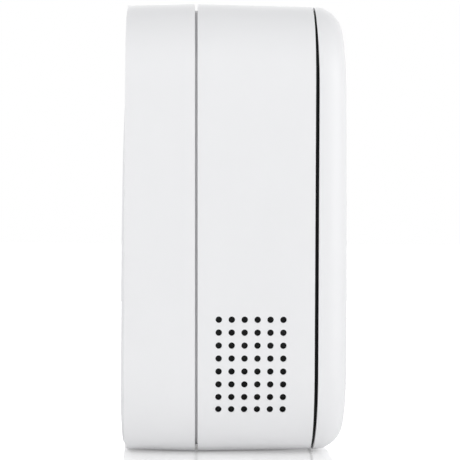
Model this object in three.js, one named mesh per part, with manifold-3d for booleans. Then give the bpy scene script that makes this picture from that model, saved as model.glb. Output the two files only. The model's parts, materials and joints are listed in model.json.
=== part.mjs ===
// A battery video doorbell: wall plate, rear housing, main housing with a side speaker,
// and a pillow-shaped front cover with camera, motion sensor and push button.
// Millimetres. +Z is up, the front faces -Y, and the origin is under the middle of the
// body on the surface that it stands on.

import * as THREE from 'three';
import { mergeVertices } from 'three/addons/utils/BufferGeometryUtils.js';
import Module from 'manifold-3d';

// ---------------------------------------------------------------- driving dimensions

// Body outline, at its widest line beside the shadow groove
const bodyWidth = 70;
const bodyHeight = 122.6;
const footCut = 0.3; // what the flat foot takes off the lowest line
const cornerReach = 25; // how far a corner curve runs along each side
const cornerPower = 2.3; // 2 is a circle, more is squarer
const frontDraft = 1.13; // degrees that the main housing narrows towards the front
const rearDraft = 1.77; // degrees that the rear housing narrows towards the wall
const outlineSteps = 7; // facets on each corner curve

// Depth of each layer, from the front
const coverDepth = 9.55;
const seamWidth = 0.8;
const mainDepth = 30.95;
const grooveWidth = 0.7;
const rearDepth = 18.55;
const plateThickness = 0.7;

// Walls and fits
const wall = 2.4;
const seat = 0.1; // gap between faces that rest on each other
const fit = 0.25; // gap around a piece that is put in by hand
const weld = 0.3; // how far two forms of one piece run into each other
const overrun = 1; // how far a cutting tool runs past what it cuts

// Front cover
const coverFillet = 6;
const coverSagAcross = 1.3; // how far the dome falls from its crest to the side fillets
const coverSagAlong = 2.3; // how far it falls to the top and bottom fillets
const coverLean = 0.048; // share of its depth that the top loses and the bottom gains

// Shadow groove, and the lip and seal that close it
const grooveDepth = 1.8;
const lipThickness = 1.15;
const lipLength = 3.4;
const sealHeight = 0.8;
const rearEdge = 0.2; // bevel of the rear housing's back edge
const sleeveWall = 1.2; // round each screw post
const sleeveGap = 0.6; // between a sleeve and the rear housing's tube
const tubeStep = 0.3; // what a tube is slimmer than its post inside the lip
const tubeSwell = 0.6; // what it is wider behind the lip

// Front frame
const frameThickness = 2;
const frameSetback = 1; // from the main housing's front edge to the frame's plate
const rimWidth = 1.75;
const rimReach = 1.4; // how far the rim reaches into the cover
const seamDepth = 0.9; // how deep the black flange lies in the seam
const oRing = 1; // section of the seal round the frame
const wireHoleRadius = 2;
const wireHoleInset = 6; // from the button board's edge

// Camera
const cameraZ = 94;
const bezelRadius = 14.2;
const bezelWidth = 1.8;
const bezelFlange = 1.4;
const bezelSetback = 4.1; // from the cover's back edge forward to the bezel's back face
const ledgeWidth = 1.2;
const ledgeHeight = 1.4;
const windowDip = 0.5; // how far the window lies below the cover's surface
const barrelRadius = 6.2;
const barrelLength = 9.4;
const barrelGap = 0.4; // behind the window
const barrelBevel = 0.8;
const barrelWall = 1.2;
const barrelShoulder = 1.6; // from the holder to the barrel's wide part
const threadRadius = 5;
const lensRadius = 3.9;
const lensRecess = 0.6; // from the barrel's front to the glass
const lensBulge = 1.3;
const lensThickness = 2.4;
const lensSeatDepth = 4;
const holderWidth = 20;
const holderHeight = 15;
const holderWall = 1.4;
const holderReach = 1.6; // how far the holder stands in front of the frame
const nozzleLength = 1.4;
const filterWidth = 9;
const filterHeight = 8;
const filterThickness = 0.7;
const filterTravel = 5.6;
const sensorSize = 7;
const sensorThickness = 1.2;
const sensorMargin = 0.5;
const cameraBoardWidth = 33;
const cameraBoardHeight = 19;
const cameraPinInset = 2.8;
const cameraPinRadius = 0.9;
const cameraPinProud = 0.5;
const cableWidth = 7;
const cableMargin = 1; // of a connector beyond its cable
const cableSocketLength = 4;
const tailThickness = 0.3;
const ledCount = 6;
const ledRadius = 1.3;
const ledBoardGap = 0.6; // round the barrel
const ledDip = 0.3; // behind the window

// Motion sensor
const pirZ = 67.8;
const pirLength = 22;
const pirHeight = 11;
const pirSetback = 4.6;
const pirSkin = 1.1;
const pirFlange = 1.2;
const pirCanRadius = 4.3;
const pirCanHeight = 4.2;
const pirCanRim = 0.5;
const sensorBoardMargin = 1.2; // beyond the lens

// Button
const buttonZ = 38;
const capRadius = 13.2;
const capDip = 0.35; // how far the cap lies below the cover's surface
const capFlange = 1.4;
const capFlangeHeight = 1;
const capTravel = 0.6;
const capWall = 1.6;
const capHollow = 0.6; // how deep the cap is hollowed above its flange
const plungerRing = 1; // width of the gap round the plunger
const ringWidth = 2.8;
const ringGap = 0.4; // around the cap
const ringShelf = 6.7; // from the cover's back edge forward to the ring's inner shelf
const ringSkirt = 4.3; // from the shelf back to the skirt's end
const ringFlange = 1.3;
const ringFlangeSetback = 4.6;
const plungerRadius = 2.2;
const switchSize = 6.2;
const switchHeight = 3.4;
const stemRadius = 1.7;
const stemProud = 1.2;
const stemGrip = 0.6; // what stays in the switch of a stem
const buttonBoardRadius = 17;
const ringLedCount = 8;
const ringLedSize = 1.8;
const ringLedHeight = 0.8;
const ringLedInset = 2;

// Microphone
const microphoneZ = 14.8;
const microphoneSize = 3.6;
const microphoneHeight = 1.1;
const microphoneHole = 0.7;
const bootRadius = 2.4;
const tabMargin = 0.6; // of the board's tab beyond the microphone

// Circuit boards
const boardThickness = 1;
const mainBoardThickness = 1.6;
const mainBoardMargin = 8; // from the body's side to the main board
const mainBoardBottom = 11.5;
const mainBoardTop = 80;
const mainBoardCorner = 2;
const mainBoardStandoff = 4.2;
const standoffRadius = 2.6;
const boardScrewInset = 4;
const lowScrewRise = 3;
const pilotBite = 0.4; // how far a screw's pilot runs into the frame
const connectorHeight = 1;
const socketHeight = 4;
const socketWidth = 6.4;
const socketLength = 4.8;
const batteryPlugX = 14;
const speakerPlugX = -10;
const plugInset = 6; // from an edge of the board or the speaker's screws to a socket
const notchRoom = 3; // round the speaker in the main board
const capacitorRadius = 4;
const capacitorHeight = 8;
const capacitorX = 19;
const capacitorRise = 18; // of the lower one above the board's bottom
const capacitorPitch = 10;
const shieldX = 6;
const shieldDrop = 25; // below the board's top
const shieldSize = 22;
const shieldHeight = 2.6;
const shieldSkin = 0.3;
const wifiX = -16;
const wifiDrop = 18;
const wifiWidth = 14;
const wifiLength = 18;
const wifiBase = 0.8;
const wifiCanInset = 0.8;
const wifiCanLength = 12.8;
const wifiCanHeight = 1.7;
const antennaSetback = 9; // from the frame back to the antenna's front edge
const antennaWidth = 10;
const antennaLength = 32;
const antennaRise = 10; // of its upper end above the main board
const antennaThickness = 0.4;

// Speaker and its grille, on the side wall at -X
const grilleColumns = 6;
const grilleRows = 8;
const grillePitch = 3.4;
const grilleHoleRadius = 0.85;
const grilleForward = 14.55; // from the groove's middle to the grille's middle
const grilleTopRow = 36.85; // height of the highest row
const grilleHoleSides = 8;
const grilleWall = 1.2; // what is left of the side wall round the holes
const grilleMargin = 0.2; // of that thin wall beyond the holes
const grilleDrop = 0.4; // of the grille's middle below the speaker's
const speakerWidth = 21.4;
const speakerHeight = 28;
const speakerWall = 1.2;
const speakerSetback = 7.6; // from the body's side to the speaker's face
const speakerDepth = 4.8;
const meshProud = 0.5; // of the mesh over the wall's inner face
const coneRadius = 9;
const coneDip = 0.4; // behind the speaker's face
const coneDepth = 2.9;
const coneRoll = 1.1; // height of its flexible edge
const bowlMargin = 0.8; // round the cone
const bowlFloor = 1;
const magnetRadius = 7.8;
const magnetDepth = 5.6;
const magnetBite = 0.5; // how far it reaches into the speaker's frame
const earRadius = 3;
const earSpread = 6.5; // from the speaker's middle to each ear
const earThickness = 1.6;
const bossStep = 0.4; // what a boss is slimmer than its ear
const speakerPilot = 3; // depth of a pilot hole in a boss
const speakerScrewBite = 2.6;

// Battery
const cellRadius = 9.2;
const cellRise = 2.7; // from the pocket's roof to the cells
const cellHeadroom = 7.7; // over the cells, for their board
const cellGap = 0.6; // between the two cells
const cellBackGap = 1.3; // behind the cells
const cellCapRadius = 2.8;
const cellCapHeight = 1.4;
const saddleInset = 10; // from each end of the cells
const saddleDepth = 6.6;
const saddleThickness = 1.6;
const clampHeight = 12;
const clampThickness = 1.4;
const clampLeg = 1.6;
const clampRise = 2; // above the upper keyholes
const clampSocketDepth = 5;
const batteryBoardRise = 2.4; // above the cells
const batteryBoardDepth = 14;
const batteryBoardMargin = 6; // beyond the cells' middles
const tabSize = 4.4;
const linkMargin = 5; // beyond the cells' middles
const linkDepth = 8;
const linkThickness = 0.4;
const batteryLeadRadius = 0.9;
const thinLeadRadius = 0.8;

// Wiring pocket in the back, and what shows in it
const pocketHalfWidth = 18;
const pocketBottom = 15.5;
const pocketTop = 43;
const pocketDepth = 4.65;
const pocketWall = 1.8;
const windowCorner = 1.5;
const supportRadius = 2;
const supportInset = 2.5;
const terminalX = 7.5;
const terminalZ = 35;
const terminalRadius = 2.8;
const terminalHeight = 6.3;
const terminalShank = 1.5;
const terminalHead = 3.1;
const terminalBar = 3; // thickness of the block between the posts
const terminalFloor = 1; // left under each threaded hole
const terminalBite = 3.4; // of a screw behind the pocket's floor
const portX = -9;
const portZ = 22;
const portWidth = 9;
const portHeight = 3.3;
const portDepth = 7;
const portSkin = 0.4;
const portBack = 1.5;
const tongueThickness = 0.7;
const resetX = 9;
const resetRadius = 2.3;
const resetProud = 1;
const resetTravel = 0.5;
const resetFlange = 1.1;
const resetFlangeHeight = 1.4;
const resetNeck = 1.4;
const resetStemRadius = 1.1;
const resetStemProud = 0.9;
const resetSwitchSize = 6;
const resetSwitchHeight = 3;
const powerBoardMargin = 1; // inside the pocket's walls
const powerSocketRise = 5;

// Wall plate, an oval sheet, and the rails that hook into the housing's keyholes
const plateHalfWidth = 32;
const plateBottom = 0.8;
const plateTop = 100;
const plateLowBulge = 18; // how far the lower curve runs up the sides
const plateHighBulge = 58; // how far the upper curve runs down the sides
const slotHalfWidth = 2.3;
const slotLength = 9.2;
const slotInset = 12; // from the plate's top and from the pocket to a slot's middle
const headRoomWidth = 10; // of the channel that passes over the wall screws' heads
const headRoomDepth = 1.5;
const railX = 23;
const railNeck = 1.3; // half its width
const railHead = 2.7; // half its width
const railHeadThickness = 1.4;
const railLip = 1.35; // wall left over the rail's head
const railLength = 9;
const railTravel = 10; // how far the plate slides down before its rails come free
const railLowRise = 11.5; // from the pocket's bottom to the lower rails
const channelTop = 74; // of the upper keyholes
const channelWall = 1.2;

// Screws
const screwShank = 1.1;
const screwHead = 2.2;
const screwHeadHeight = 1.6;
const screwPlay = 0.3; // round a screw's shank and head
const screwSpare = 0.6; // of a pilot beyond its screw
const screwFloor = 1.5; // under a housing screw's head
const postRadius = 3;
const postLength = 5.7;
const smallShank = 0.8;
const smallHead = 1.7;
const smallHeadHeight = 1.1;

// ---------------------------------------------------------------- planes across the depth

const totalDepth =
  coverDepth + seamWidth + mainDepth + grooveWidth + rearDepth + seat + plateThickness;
const crestY = -totalDepth / 2;
const coverBack = crestY + coverDepth;
const mainFront = coverBack + seamWidth;
const mainBack = mainFront + mainDepth;
const rearFront = mainBack + grooveWidth;
const rearBack = rearFront + rearDepth;
const plateFront = rearBack + seat;
const plateBack = plateFront + plateThickness;
const frameFront = mainFront + frameSetback;
const frameBack = frameFront + frameThickness;
const frontBoardBack = frameFront - seat;
const frontBoardFront = frontBoardBack - boardThickness;
const mainBoardFront = frameBack + mainBoardStandoff;
const mainBoardBack = mainBoardFront + mainBoardThickness;
const lipEnd = mainBack - lipLength;
const sleeveBack = lipEnd - sealHeight - 2 * seat - sleeveGap;
const rearInside = rearBack - wall;
const pocketFloor = rearBack - pocketDepth;
const pocketInside = pocketFloor - pocketWall;
const powerBoardBack = pocketInside - seat - terminalHeight;
const powerBoardFront = powerBoardBack - mainBoardThickness;
const connectorBack = mainBoardBack + connectorHeight;

const middleZ = bodyHeight / 2 - footCut;
const cornerX = bodyWidth / 2 - cornerReach;
const cornerZ = bodyHeight / 2 - cornerReach;
const frontInset = Math.tan(THREE.MathUtils.degToRad(frontDraft)) * mainDepth;
const mainBoardHalfWidth = bodyWidth / 2 - mainBoardMargin;
const speakerFaceX = bodyWidth / 2 - speakerSetback;
const cellBottom = pocketTop + pocketWall + cellRise;
const cellTop = bodyHeight - footCut - wall - cellHeadroom;

// ---------------------------------------------------------------- materials

const plastic = (color, roughness) =>
  new THREE.MeshStandardMaterial({ color, roughness, metalness: 0 });
const metal = (color, roughness) =>
  new THREE.MeshStandardMaterial({ color, roughness, metalness: 1 });

const whiteShell = plastic(0xeeeef0, 0.5);
const whiteSoft = plastic(0xf4f4f2, 0.4);
const blackShell = plastic(0x151517, 0.45);
const blackGloss = plastic(0x08080a, 0.1);
const clearGlass = plastic(0x1c2430, 0.05);
const boardGreen = plastic(0x1f5a3a, 0.5);
const boardBlack = plastic(0x1c1e20, 0.5);
const chipBlack = plastic(0x222226, 0.6);
const rubber = plastic(0x2a2a2c, 0.8);
const cable = plastic(0x202022, 0.6);
const cellWrap = plastic(0x3d6db5, 0.4);
const steel = metal(0xb9bcc0, 0.3);
const tin = metal(0xc9ccd0, 0.35);

// ---------------------------------------------------------------- solids

const wasm = await Module();
wasm.setup();

/** The manifold solid of a closed three.js geometry. */
function solid(geometry) {
  const bare = geometry.index ? geometry.toNonIndexed() : geometry.clone();
  bare.deleteAttribute('normal');
  bare.deleteAttribute('uv');
  const merged = mergeVertices(bare, 1e-4);
  const faces = [];
  for (let i = 0; i < merged.index.count; i += 3) {
    const face = [0, 1, 2].map((k) => merged.index.getX(i + k));
    if (new Set(face).size === 3) faces.push(...face);
  }
  return new wasm.Manifold(
    new wasm.Mesh({
      numProp: 3,
      vertProperties: merged.attributes.position.array,
      triVerts: new Uint32Array(faces),
    }),
  );
}

/** The three.js geometry of a manifold solid. */
function geometryOf(made) {
  const mesh = made.getMesh();
  const geometry = new THREE.BufferGeometry();
  geometry.setAttribute('position', new THREE.BufferAttribute(mesh.vertProperties, 3));
  geometry.setIndex(new THREE.BufferAttribute(mesh.triVerts, 1));
  geometry.computeVertexNormals();
  return geometry;
}

const join = (...pieces) => pieces.flat().reduce((a, b) => a.add(b));
const cut = (base, ...tools) => tools.flat().reduce((a, b) => a.subtract(b), base);
const spread = (middle, half) => [middle - half, middle + half];

/** A box, each of its ranges written as [low, high]. */
function block([x0, x1], [y0, y1], [z0, z1]) {
  const geometry = new THREE.BoxGeometry(x1 - x0, y1 - y0, z1 - z0);
  return solid(geometry.translate((x0 + x1) / 2, (y0 + y1) / 2, (z0 + z1) / 2));
}

/** A cylinder along Y, its axis through (x, z). */
function rodY(radius, [y0, y1], x = 0, z = 0, sides = 12) {
  const geometry = new THREE.CylinderGeometry(radius, radius, y1 - y0, sides);
  return solid(geometry.translate(x, (y0 + y1) / 2, z));
}

/** A cylinder along X, its axis through (y, z). */
function rodX(radius, [x0, x1], y, z, sides = 12) {
  const geometry = new THREE.CylinderGeometry(radius, radius, x1 - x0, sides);
  return solid(geometry.rotateZ(Math.PI / 2).translate((x0 + x1) / 2, y, z));
}

/** A cylinder along Z, its axis through (x, y). */
function rodZ(radius, [z0, z1], x, y, sides = 24) {
  const geometry = new THREE.CylinderGeometry(radius, radius, z1 - z0, sides);
  return solid(geometry.rotateX(Math.PI / 2).translate(x, y, (z0 + z1) / 2));
}

/** A ring round the Y axis. */
function ringY(inner, outer, [y0, y1], sides = 24) {
  const bore = rodY(inner, [y0 - overrun, y1 + overrun], 0, 0, sides);
  return cut(rodY(outer, [y0, y1], 0, 0, sides), bore);
}

/** A solid of revolution round the Y axis, from a profile of [radius, y] points. */
function turned(profile, sides = 20) {
  const points = profile.map(([r, y]) => new THREE.Vector2(r, y));
  return solid(new THREE.LatheGeometry([...points, points[0]], sides));
}

/** A shape drawn in the XZ plane, pushed along Y. */
function slab(shape, [y0, y1], curveSegments = 4) {
  const options = { depth: y1 - y0, bevelEnabled: false, curveSegments };
  const geometry = new THREE.ExtrudeGeometry(shape, options);
  return solid(geometry.rotateX(Math.PI / 2).translate(0, y1, 0));
}

/** A rectangle with round corners. */
function roundedRectangle([x0, x1], [z0, z1], radius) {
  const shape = new THREE.Shape();
  shape.moveTo(x0 + radius, z0);
  shape.absarc(x1 - radius, z0 + radius, radius, -Math.PI / 2, 0);
  shape.absarc(x1 - radius, z1 - radius, radius, 0, Math.PI / 2);
  shape.absarc(x0 + radius, z1 - radius, radius, Math.PI / 2, Math.PI);
  shape.absarc(x0 + radius, z0 + radius, radius, Math.PI, Math.PI * 1.5);
  return shape;
}

/** A round lead along a smooth route through the given points. */
function lead(radius, points, steps = 14) {
  const route = new THREE.CatmullRomCurve3(points.map((p) => new THREE.Vector3(...p)));
  const section = new THREE.Shape().absarc(0, 0, radius, 0, Math.PI * 2);
  const options = { steps, extrudePath: route, curveSegments: 4, bevelEnabled: false };
  return solid(new THREE.ExtrudeGeometry(section, options));
}

/** A screw that points to -Y, with the underside of its head at y = 0. */
function screw(shank, head, headHeight, length) {
  const body = turned([
    [0, -length], [shank, -length], [shank, 0],
    [head, 0], [head * 0.8, headHeight], [0, headHeight],
  ], 10);
  return cut(body, rodY(head * 0.45, [headHeight * 0.4, headHeight + overrun], 0, 0, 6));
}

// ---------------------------------------------------------------- the body's own forms

/** How far the draft has brought the outline in at a depth. */
function draftInset(y) {
  const slope = (degrees) => Math.tan(THREE.MathUtils.degToRad(degrees));
  if (y < mainBack) return (mainBack - y) * slope(frontDraft);
  if (y > rearFront) return (y - rearFront) * slope(rearDraft);
  return 0;
}

/** A point of one corner's curve, inset by a distance, at an angle from the side. */
function cornerPoint(inset, angle) {
  const reach = cornerReach - inset;
  return {
    x: cornerX + reach * Math.cos(angle) ** (2 / cornerPower),
    z: cornerZ + reach * Math.sin(angle) ** (2 / cornerPower),
  };
}

/** Where the side wall's outer face lies at a depth and height, and how far it leans. */
function sideWall(y, z) {
  const reach = cornerReach - draftInset(y);
  const rise = Math.max(0, Math.abs(z - middleZ) - cornerZ) / reach;
  const run = (1 - rise ** cornerPower) ** (1 / cornerPower);
  const lean = Math.atan2(rise ** (cornerPower - 1), run ** (cornerPower - 1));
  return { x: cornerX + reach * run, lean };
}

/** The body's outline at a depth, inset by a distance. */
function outline(y, inset) {
  const corner = [];
  for (let i = 0; i <= outlineSteps; i += 1) {
    const angle = ((i / outlineSteps) * Math.PI) / 2;
    corner.push(cornerPoint(inset, Math.min(angle, Math.PI / 2 - 1e-9)));
  }
  const back = [...corner].reverse();
  return [
    ...corner.map(({ x, z }) => [x, z]),
    ...back.map(({ x, z }) => [-x, z]),
    ...corner.map(({ x, z }) => [-x, -z]),
    ...back.map(({ x, z }) => [x, -z]),
  ].map(([x, z]) => new THREE.Vector3(x, y, middleZ + z));
}

/** A closed solid through rings of equal length, listed from the front to the back. */
function loft(rings) {
  const count = rings[0].length;
  const centre = (ring) =>
    ring.reduce((sum, p) => sum.add(p), new THREE.Vector3()).divideScalar(count);
  const points = [...rings.flat(), centre(rings[0]), centre(rings.at(-1))];
  const frontCentre = points.length - 2;
  const backCentre = points.length - 1;
  const backRing = (rings.length - 1) * count;
  const faces = [];
  for (let k = 0; k < count; k += 1) {
    const next = (k + 1) % count;
    faces.push(frontCentre, k, next, backCentre, backRing + next, backRing + k);
    for (let r = 0; r < backRing; r += count) {
      faces.push(r + k, r + count + next, r + next);
      faces.push(r + k, r + count + k, r + count + next);
    }
  }
  const geometry = new THREE.BufferGeometry().setFromPoints(points);
  geometry.setIndex(faces);
  return solid(geometry);
}

/** The body's form between two depths, shrunk by an inset. */
function bodyForm([y0, y1], inset) {
  return loft([y0, y1].map((y) => outline(y, inset + draftInset(y))));
}

/** A band along the body's wall, between two insets. */
function bodyBand([y0, y1], outerInset, innerInset) {
  const inside = bodyForm([y0 - overrun, y1 + overrun], innerInset);
  return cut(bodyForm([y0, y1], outerInset), inside);
}

/** How far the cover's dome stands in front of its back edge, at a place on the front. */
function domeDepth(x, z) {
  const edge = frontInset + coverFillet;
  const across = (x / (bodyWidth / 2 - edge)) ** 2;
  const along = ((z - middleZ) / (bodyHeight / 2 - edge)) ** 2;
  const shared = Math.min(coverSagAcross, coverSagAlong) * across * along;
  return coverDepth - coverSagAcross * across - coverSagAlong * along + shared;
}

/** The front cover's outer form shrunk by an inset, seen from a height as its zero. */
function coverForm(inset, zeroZ = 0) {
  const place = (x, z, raised) => {
    const lean = 1 - (coverLean * (z - middleZ)) / (bodyHeight / 2);
    const depth = (domeDepth(x, z) - inset) * raised;
    return new THREE.Vector3(x, coverBack - seat - depth * lean, z - zeroZ);
  };
  const edge = outline(0, frontInset + coverFillet);
  const rings = [0.02, 0.5].map((share) =>
    edge.map((p) => place(p.x * share, middleZ + (p.z - middleZ) * share, 1)));
  for (const degrees of [90, 65, 42, 20, 0]) {
    const angle = THREE.MathUtils.degToRad(degrees);
    const across = inset + (coverFillet - inset) * (1 - Math.cos(angle));
    rings.push(outline(0, frontInset + across).map((p) => place(p.x, p.z, Math.sin(angle))));
  }
  const rimY = inset > 0 ? coverBack + overrun : coverBack;
  rings.push(outline(rimY, frontInset + inset).map((p) => p.setZ(p.z - zeroZ)));
  return loft(rings);
}

// ---------------------------------------------------------------- the scene graph

const doorbell = new THREE.Group();

/** A nested group for one module, on its own axis across the body. */
function moduleAt(x, z) {
  const group = new THREE.Group();
  group.position.set(x, 0, z);
  doorbell.add(group);
  return group;
}

/** Adds a named mesh to a group, at a place in it. */
function add(group, name, made, material, place = [0, 0, 0], turn = [0, 0, 0]) {
  const mesh = new THREE.Mesh(geometryOf(made), material);
  mesh.name = name;
  mesh.position.set(...place);
  mesh.rotation.set(...turn);
  group.add(mesh);
}

// ---------------------------------------------------------------- housing screws

const postInset = wall + frontInset + postRadius + fit;
const upperPost = cornerPoint(postInset, Math.PI / 4);
const lowerPost = cornerPoint(postInset, Math.PI * 0.42);
const posts = {
  upper_left: [-upperPost.x, middleZ + upperPost.z],
  upper_right: [upperPost.x, middleZ + upperPost.z],
  lower_left: [-lowerPost.x, middleZ - lowerPost.z],
  lower_right: [lowerPost.x, middleZ - lowerPost.z],
};
const sleeveRadius = postRadius + sleeveWall;
const shankHole = screwShank + screwPlay;
const headHole = screwHead + screwPlay;
const screwSeat = rearFront + screwFloor;
const screwLength = screwSeat - frameBack - screwSpare;

/** One rod on the axis of every housing screw. */
const onPosts = (radius, range, sides = 12) =>
  Object.values(posts).map(([x, z]) => rodY(radius, range, x, z, sides));

for (const [corner, [x, z]] of Object.entries(posts)) {
  const made = screw(screwShank, screwHead, screwHeadHeight, screwLength);
  add(doorbell, `housing_screw_${corner}`, made, steel, [x, screwSeat + seat, z]);
}

// ---------------------------------------------------------------- main housing

const foot = block(spread(0, bodyWidth), spread(0, totalDepth), [-bodyHeight, 0]);
const speakerY = (mainBack + rearFront) / 2 - grilleForward;
const speakerZ = grilleTopRow - ((grilleRows - 1) / 2) * grillePitch + grilleDrop;
const earZ = speakerHeight / 2 + earRadius;
const earYs = [speakerY - earSpread, speakerY + earSpread];

/** The grille's holes, evenly spaced along the curved wall. */
function grilleHoles() {
  const holes = [];
  const firstY = speakerY - ((grilleColumns - 1) / 2) * grillePitch;
  let z = grilleTopRow;
  for (let row = 0; row < grilleRows; row += 1) {
    const { x, lean } = sideWall(speakerY, z);
    for (let column = 0; column < grilleColumns; column += 1) {
      const y = firstY + column * grillePitch;
      holes.push(rodX(grilleHoleRadius, spread(-x, wall * 2), y, z, grilleHoleSides));
    }
    z -= grillePitch * Math.cos(lean);
  }
  return holes;
}

const recessHalfY =
  ((grilleColumns - 1) / 2) * grillePitch + grilleHoleRadius + grilleMargin;
const recessHalfZ =
  ((grilleRows - 1) / 2) * grillePitch + grilleHoleRadius + grilleMargin + grilleDrop;

/** A piece of band just inside the side wall, behind the grille. */
function grilleBand(outerInset, innerInset, halfY, halfZ) {
  const window = block(
    [-bodyWidth / 2, -speakerFaceX - seat], spread(speakerY, halfY), spread(0, halfZ));
  return bodyBand(spread(speakerY, halfY + overrun), outerInset, innerInset)
    .translate(0, 0, -speakerZ).intersect(window);
}

function mainHousing() {
  const rebate = [lipEnd - sealHeight - 2 * seat, mainBack + overrun];
  const shell = cut(
    bodyForm([mainFront, mainBack], 0),
    bodyForm([mainFront - overrun, mainBack + overrun], wall),
    bodyForm(rebate, grooveDepth - fit),
  );
  const sleeves = onPosts(sleeveRadius, [frameBack + postLength + seat, sleeveBack]);
  const inside = bodyForm([mainFront, mainBack], wall / 2);
  const bosses = earYs.map((y) =>
    rodX(earRadius - bossStep, [-bodyWidth / 2, -speakerFaceX - seat], y, speakerZ + earZ)
      .intersect(inside));
  const pilots = earYs.map((y) =>
    rodX(smallShank + seat, [-speakerFaceX - speakerPilot, 0], y, speakerZ + earZ, 10));
  const ledgeTop = speakerZ - speakerHeight / 2 - seat;
  const ledge = block(
    [-bodyWidth / 2, -speakerFaceX + speakerDepth / 2], spread(speakerY, speakerWidth / 3),
    [ledgeTop - ledgeHeight, ledgeTop]).intersect(inside);
  const bores = onPosts(shankHole, [mainFront, mainBack], 12);
  const recess = grilleBand(grilleWall, wall + seat, recessHalfY, recessHalfZ)
    .translate(0, 0, speakerZ);
  return cut(
    join(cut(shell, recess), sleeves, bosses, ledge), bores, pilots, grilleHoles(), foot);
}

add(doorbell, 'main_housing', mainHousing(), whiteShell);

// ---------------------------------------------------------------- front frame and seal

const holderFront = frameFront - holderReach;

function frontFrame() {
  const inset = wall + fit;
  const plate = bodyForm([frameFront, frameBack], inset);
  const rim = bodyBand([coverBack - rimReach, frameFront + seat], inset, inset + rimWidth);
  const flange = bodyBand([coverBack + seat, mainFront - seat], seamDepth, inset + rimWidth);
  const groove = cut(
    bodyForm(spread((frameFront + frameBack) / 2, oRing / 2 + seat), 0),
    bodyForm(spread((frameFront + frameBack) / 2, oRing), inset + oRing - fit),
  );
  const standoffs = boardScrews.map(([x, z]) =>
    rodY(standoffRadius, [frameFront + seat, mainBoardFront - seat], x, z));
  const cameraPosts = cameraPins.flatMap(([x, z]) => [
    rodY(standoffRadius, [frameFront + seat, mainBoardFront - seat], x, z),
    rodY(cameraPinRadius, [frameFront + seat, cameraPinEnd], x, z, 12),
  ]);
  const pilots = boardScrews.map(([x, z]) =>
    rodY(smallShank + seat, [frameBack - pilotBite, mainBoardFront], x, z, 10));
  const postBack = frameBack + postLength;
  const screwPilots = onPosts(screwShank + seat, [frameFront + seat, postBack + overrun], 12);
  const holderHole = block(
    spread(0, holderWidth / 2 + fit), spread(frameFront, frameThickness * 2),
    spread(cameraZ, holderHeight / 2 + fit));
  const wireHoles = [pirZ - pirHeight, buttonZ + buttonBoardRadius - wireHoleInset].map((z) =>
    rodY(wireHoleRadius, [frameFront - overrun, frameBack + overrun], 0, z));
  const solids = join(
    plate, rim, flange, standoffs, cameraPosts,
    onPosts(postRadius, [frameFront + seat, postBack]));
  return cut(solids, groove, pilots, screwPilots, holderHole, wireHoles);
}

const cameraPinX = cameraBoardWidth / 2 - cameraPinInset;
const cameraPinEnd = mainBoardFront + boardThickness + cameraPinProud;
const cameraPins = [[-cameraPinX, cameraZ], [cameraPinX, cameraZ]];
const boardScrews = [
  [-mainBoardHalfWidth + boardScrewInset, mainBoardTop - boardScrewInset],
  [mainBoardHalfWidth - boardScrewInset, mainBoardTop - boardScrewInset],
  [mainBoardHalfWidth - boardScrewInset, mainBoardBottom + boardScrewInset + lowScrewRise],
];

add(doorbell, 'front_frame', frontFrame(), blackShell);

const sealY = spread((frameFront + frameBack) / 2, oRing / 2);
add(doorbell, 'front_seal', bodyBand(sealY, wall + seat, wall + seat + oRing - fit), rubber);

// ---------------------------------------------------------------- rear housing

const cellX = cellRadius + cellGap / 2;
const cellY = rearInside - cellBackGap - cellRadius;
const channelDepth = railLip + railHeadThickness + 2 * seat + fit;
const clampZ = channelTop + channelWall + clampHeight / 2 + clampRise;
const legX = cellX + cellRadius + fit + clampLeg / 2;
const railBottoms = [pocketBottom + railLowRise, channelTop - fit - railLength];
const railPlaces = railBottoms.flatMap((bottom) => [[-1, bottom], [1, bottom]]);

/** The keyhole for one rail: a window that lets its head in, under a T-shaped slot. */
function keyhole(side, bottom) {
  const x = side * railX;
  const mouth = [rearBack - railLip - 2 * seat, rearBack + overrun];
  const low = bottom - railTravel - fit;
  const high = bottom + railLength + fit;
  const neck = block(spread(x, railNeck + fit), mouth, [low, high]);
  const window = block(spread(x, railHead + fit), mouth, [low, high - railTravel]);
  const head = block(
    spread(x, railHead + fit), [rearBack - channelDepth, rearBack - railLip], [low, high]);
  return join(neck, window, head);
}

/** The box of wall round one keyhole, inside the housing. */
function keyholeBox(side, bottom) {
  return block(
    spread(side * railX, railHead + fit + channelWall),
    [rearBack - channelDepth - channelWall, rearInside + overrun],
    [bottom - railTravel - fit - channelWall, bottom + railLength + fit + channelWall]);
}

/** Holes in the pocket's floor for the terminal screws, the port and the reset button. */
function pocketOpenings() {
  const through = [pocketInside - overrun, pocketFloor + overrun];
  return [
    rodY(terminalShank + fit, through, -terminalX, terminalZ, 12),
    rodY(terminalShank + fit, through, terminalX, terminalZ, 12),
    rodY(resetRadius + fit, through, resetX, portZ),
    block(spread(portX, portWidth / 2 + fit), through, spread(portZ, portHeight / 2 + fit)),
  ];
}

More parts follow.
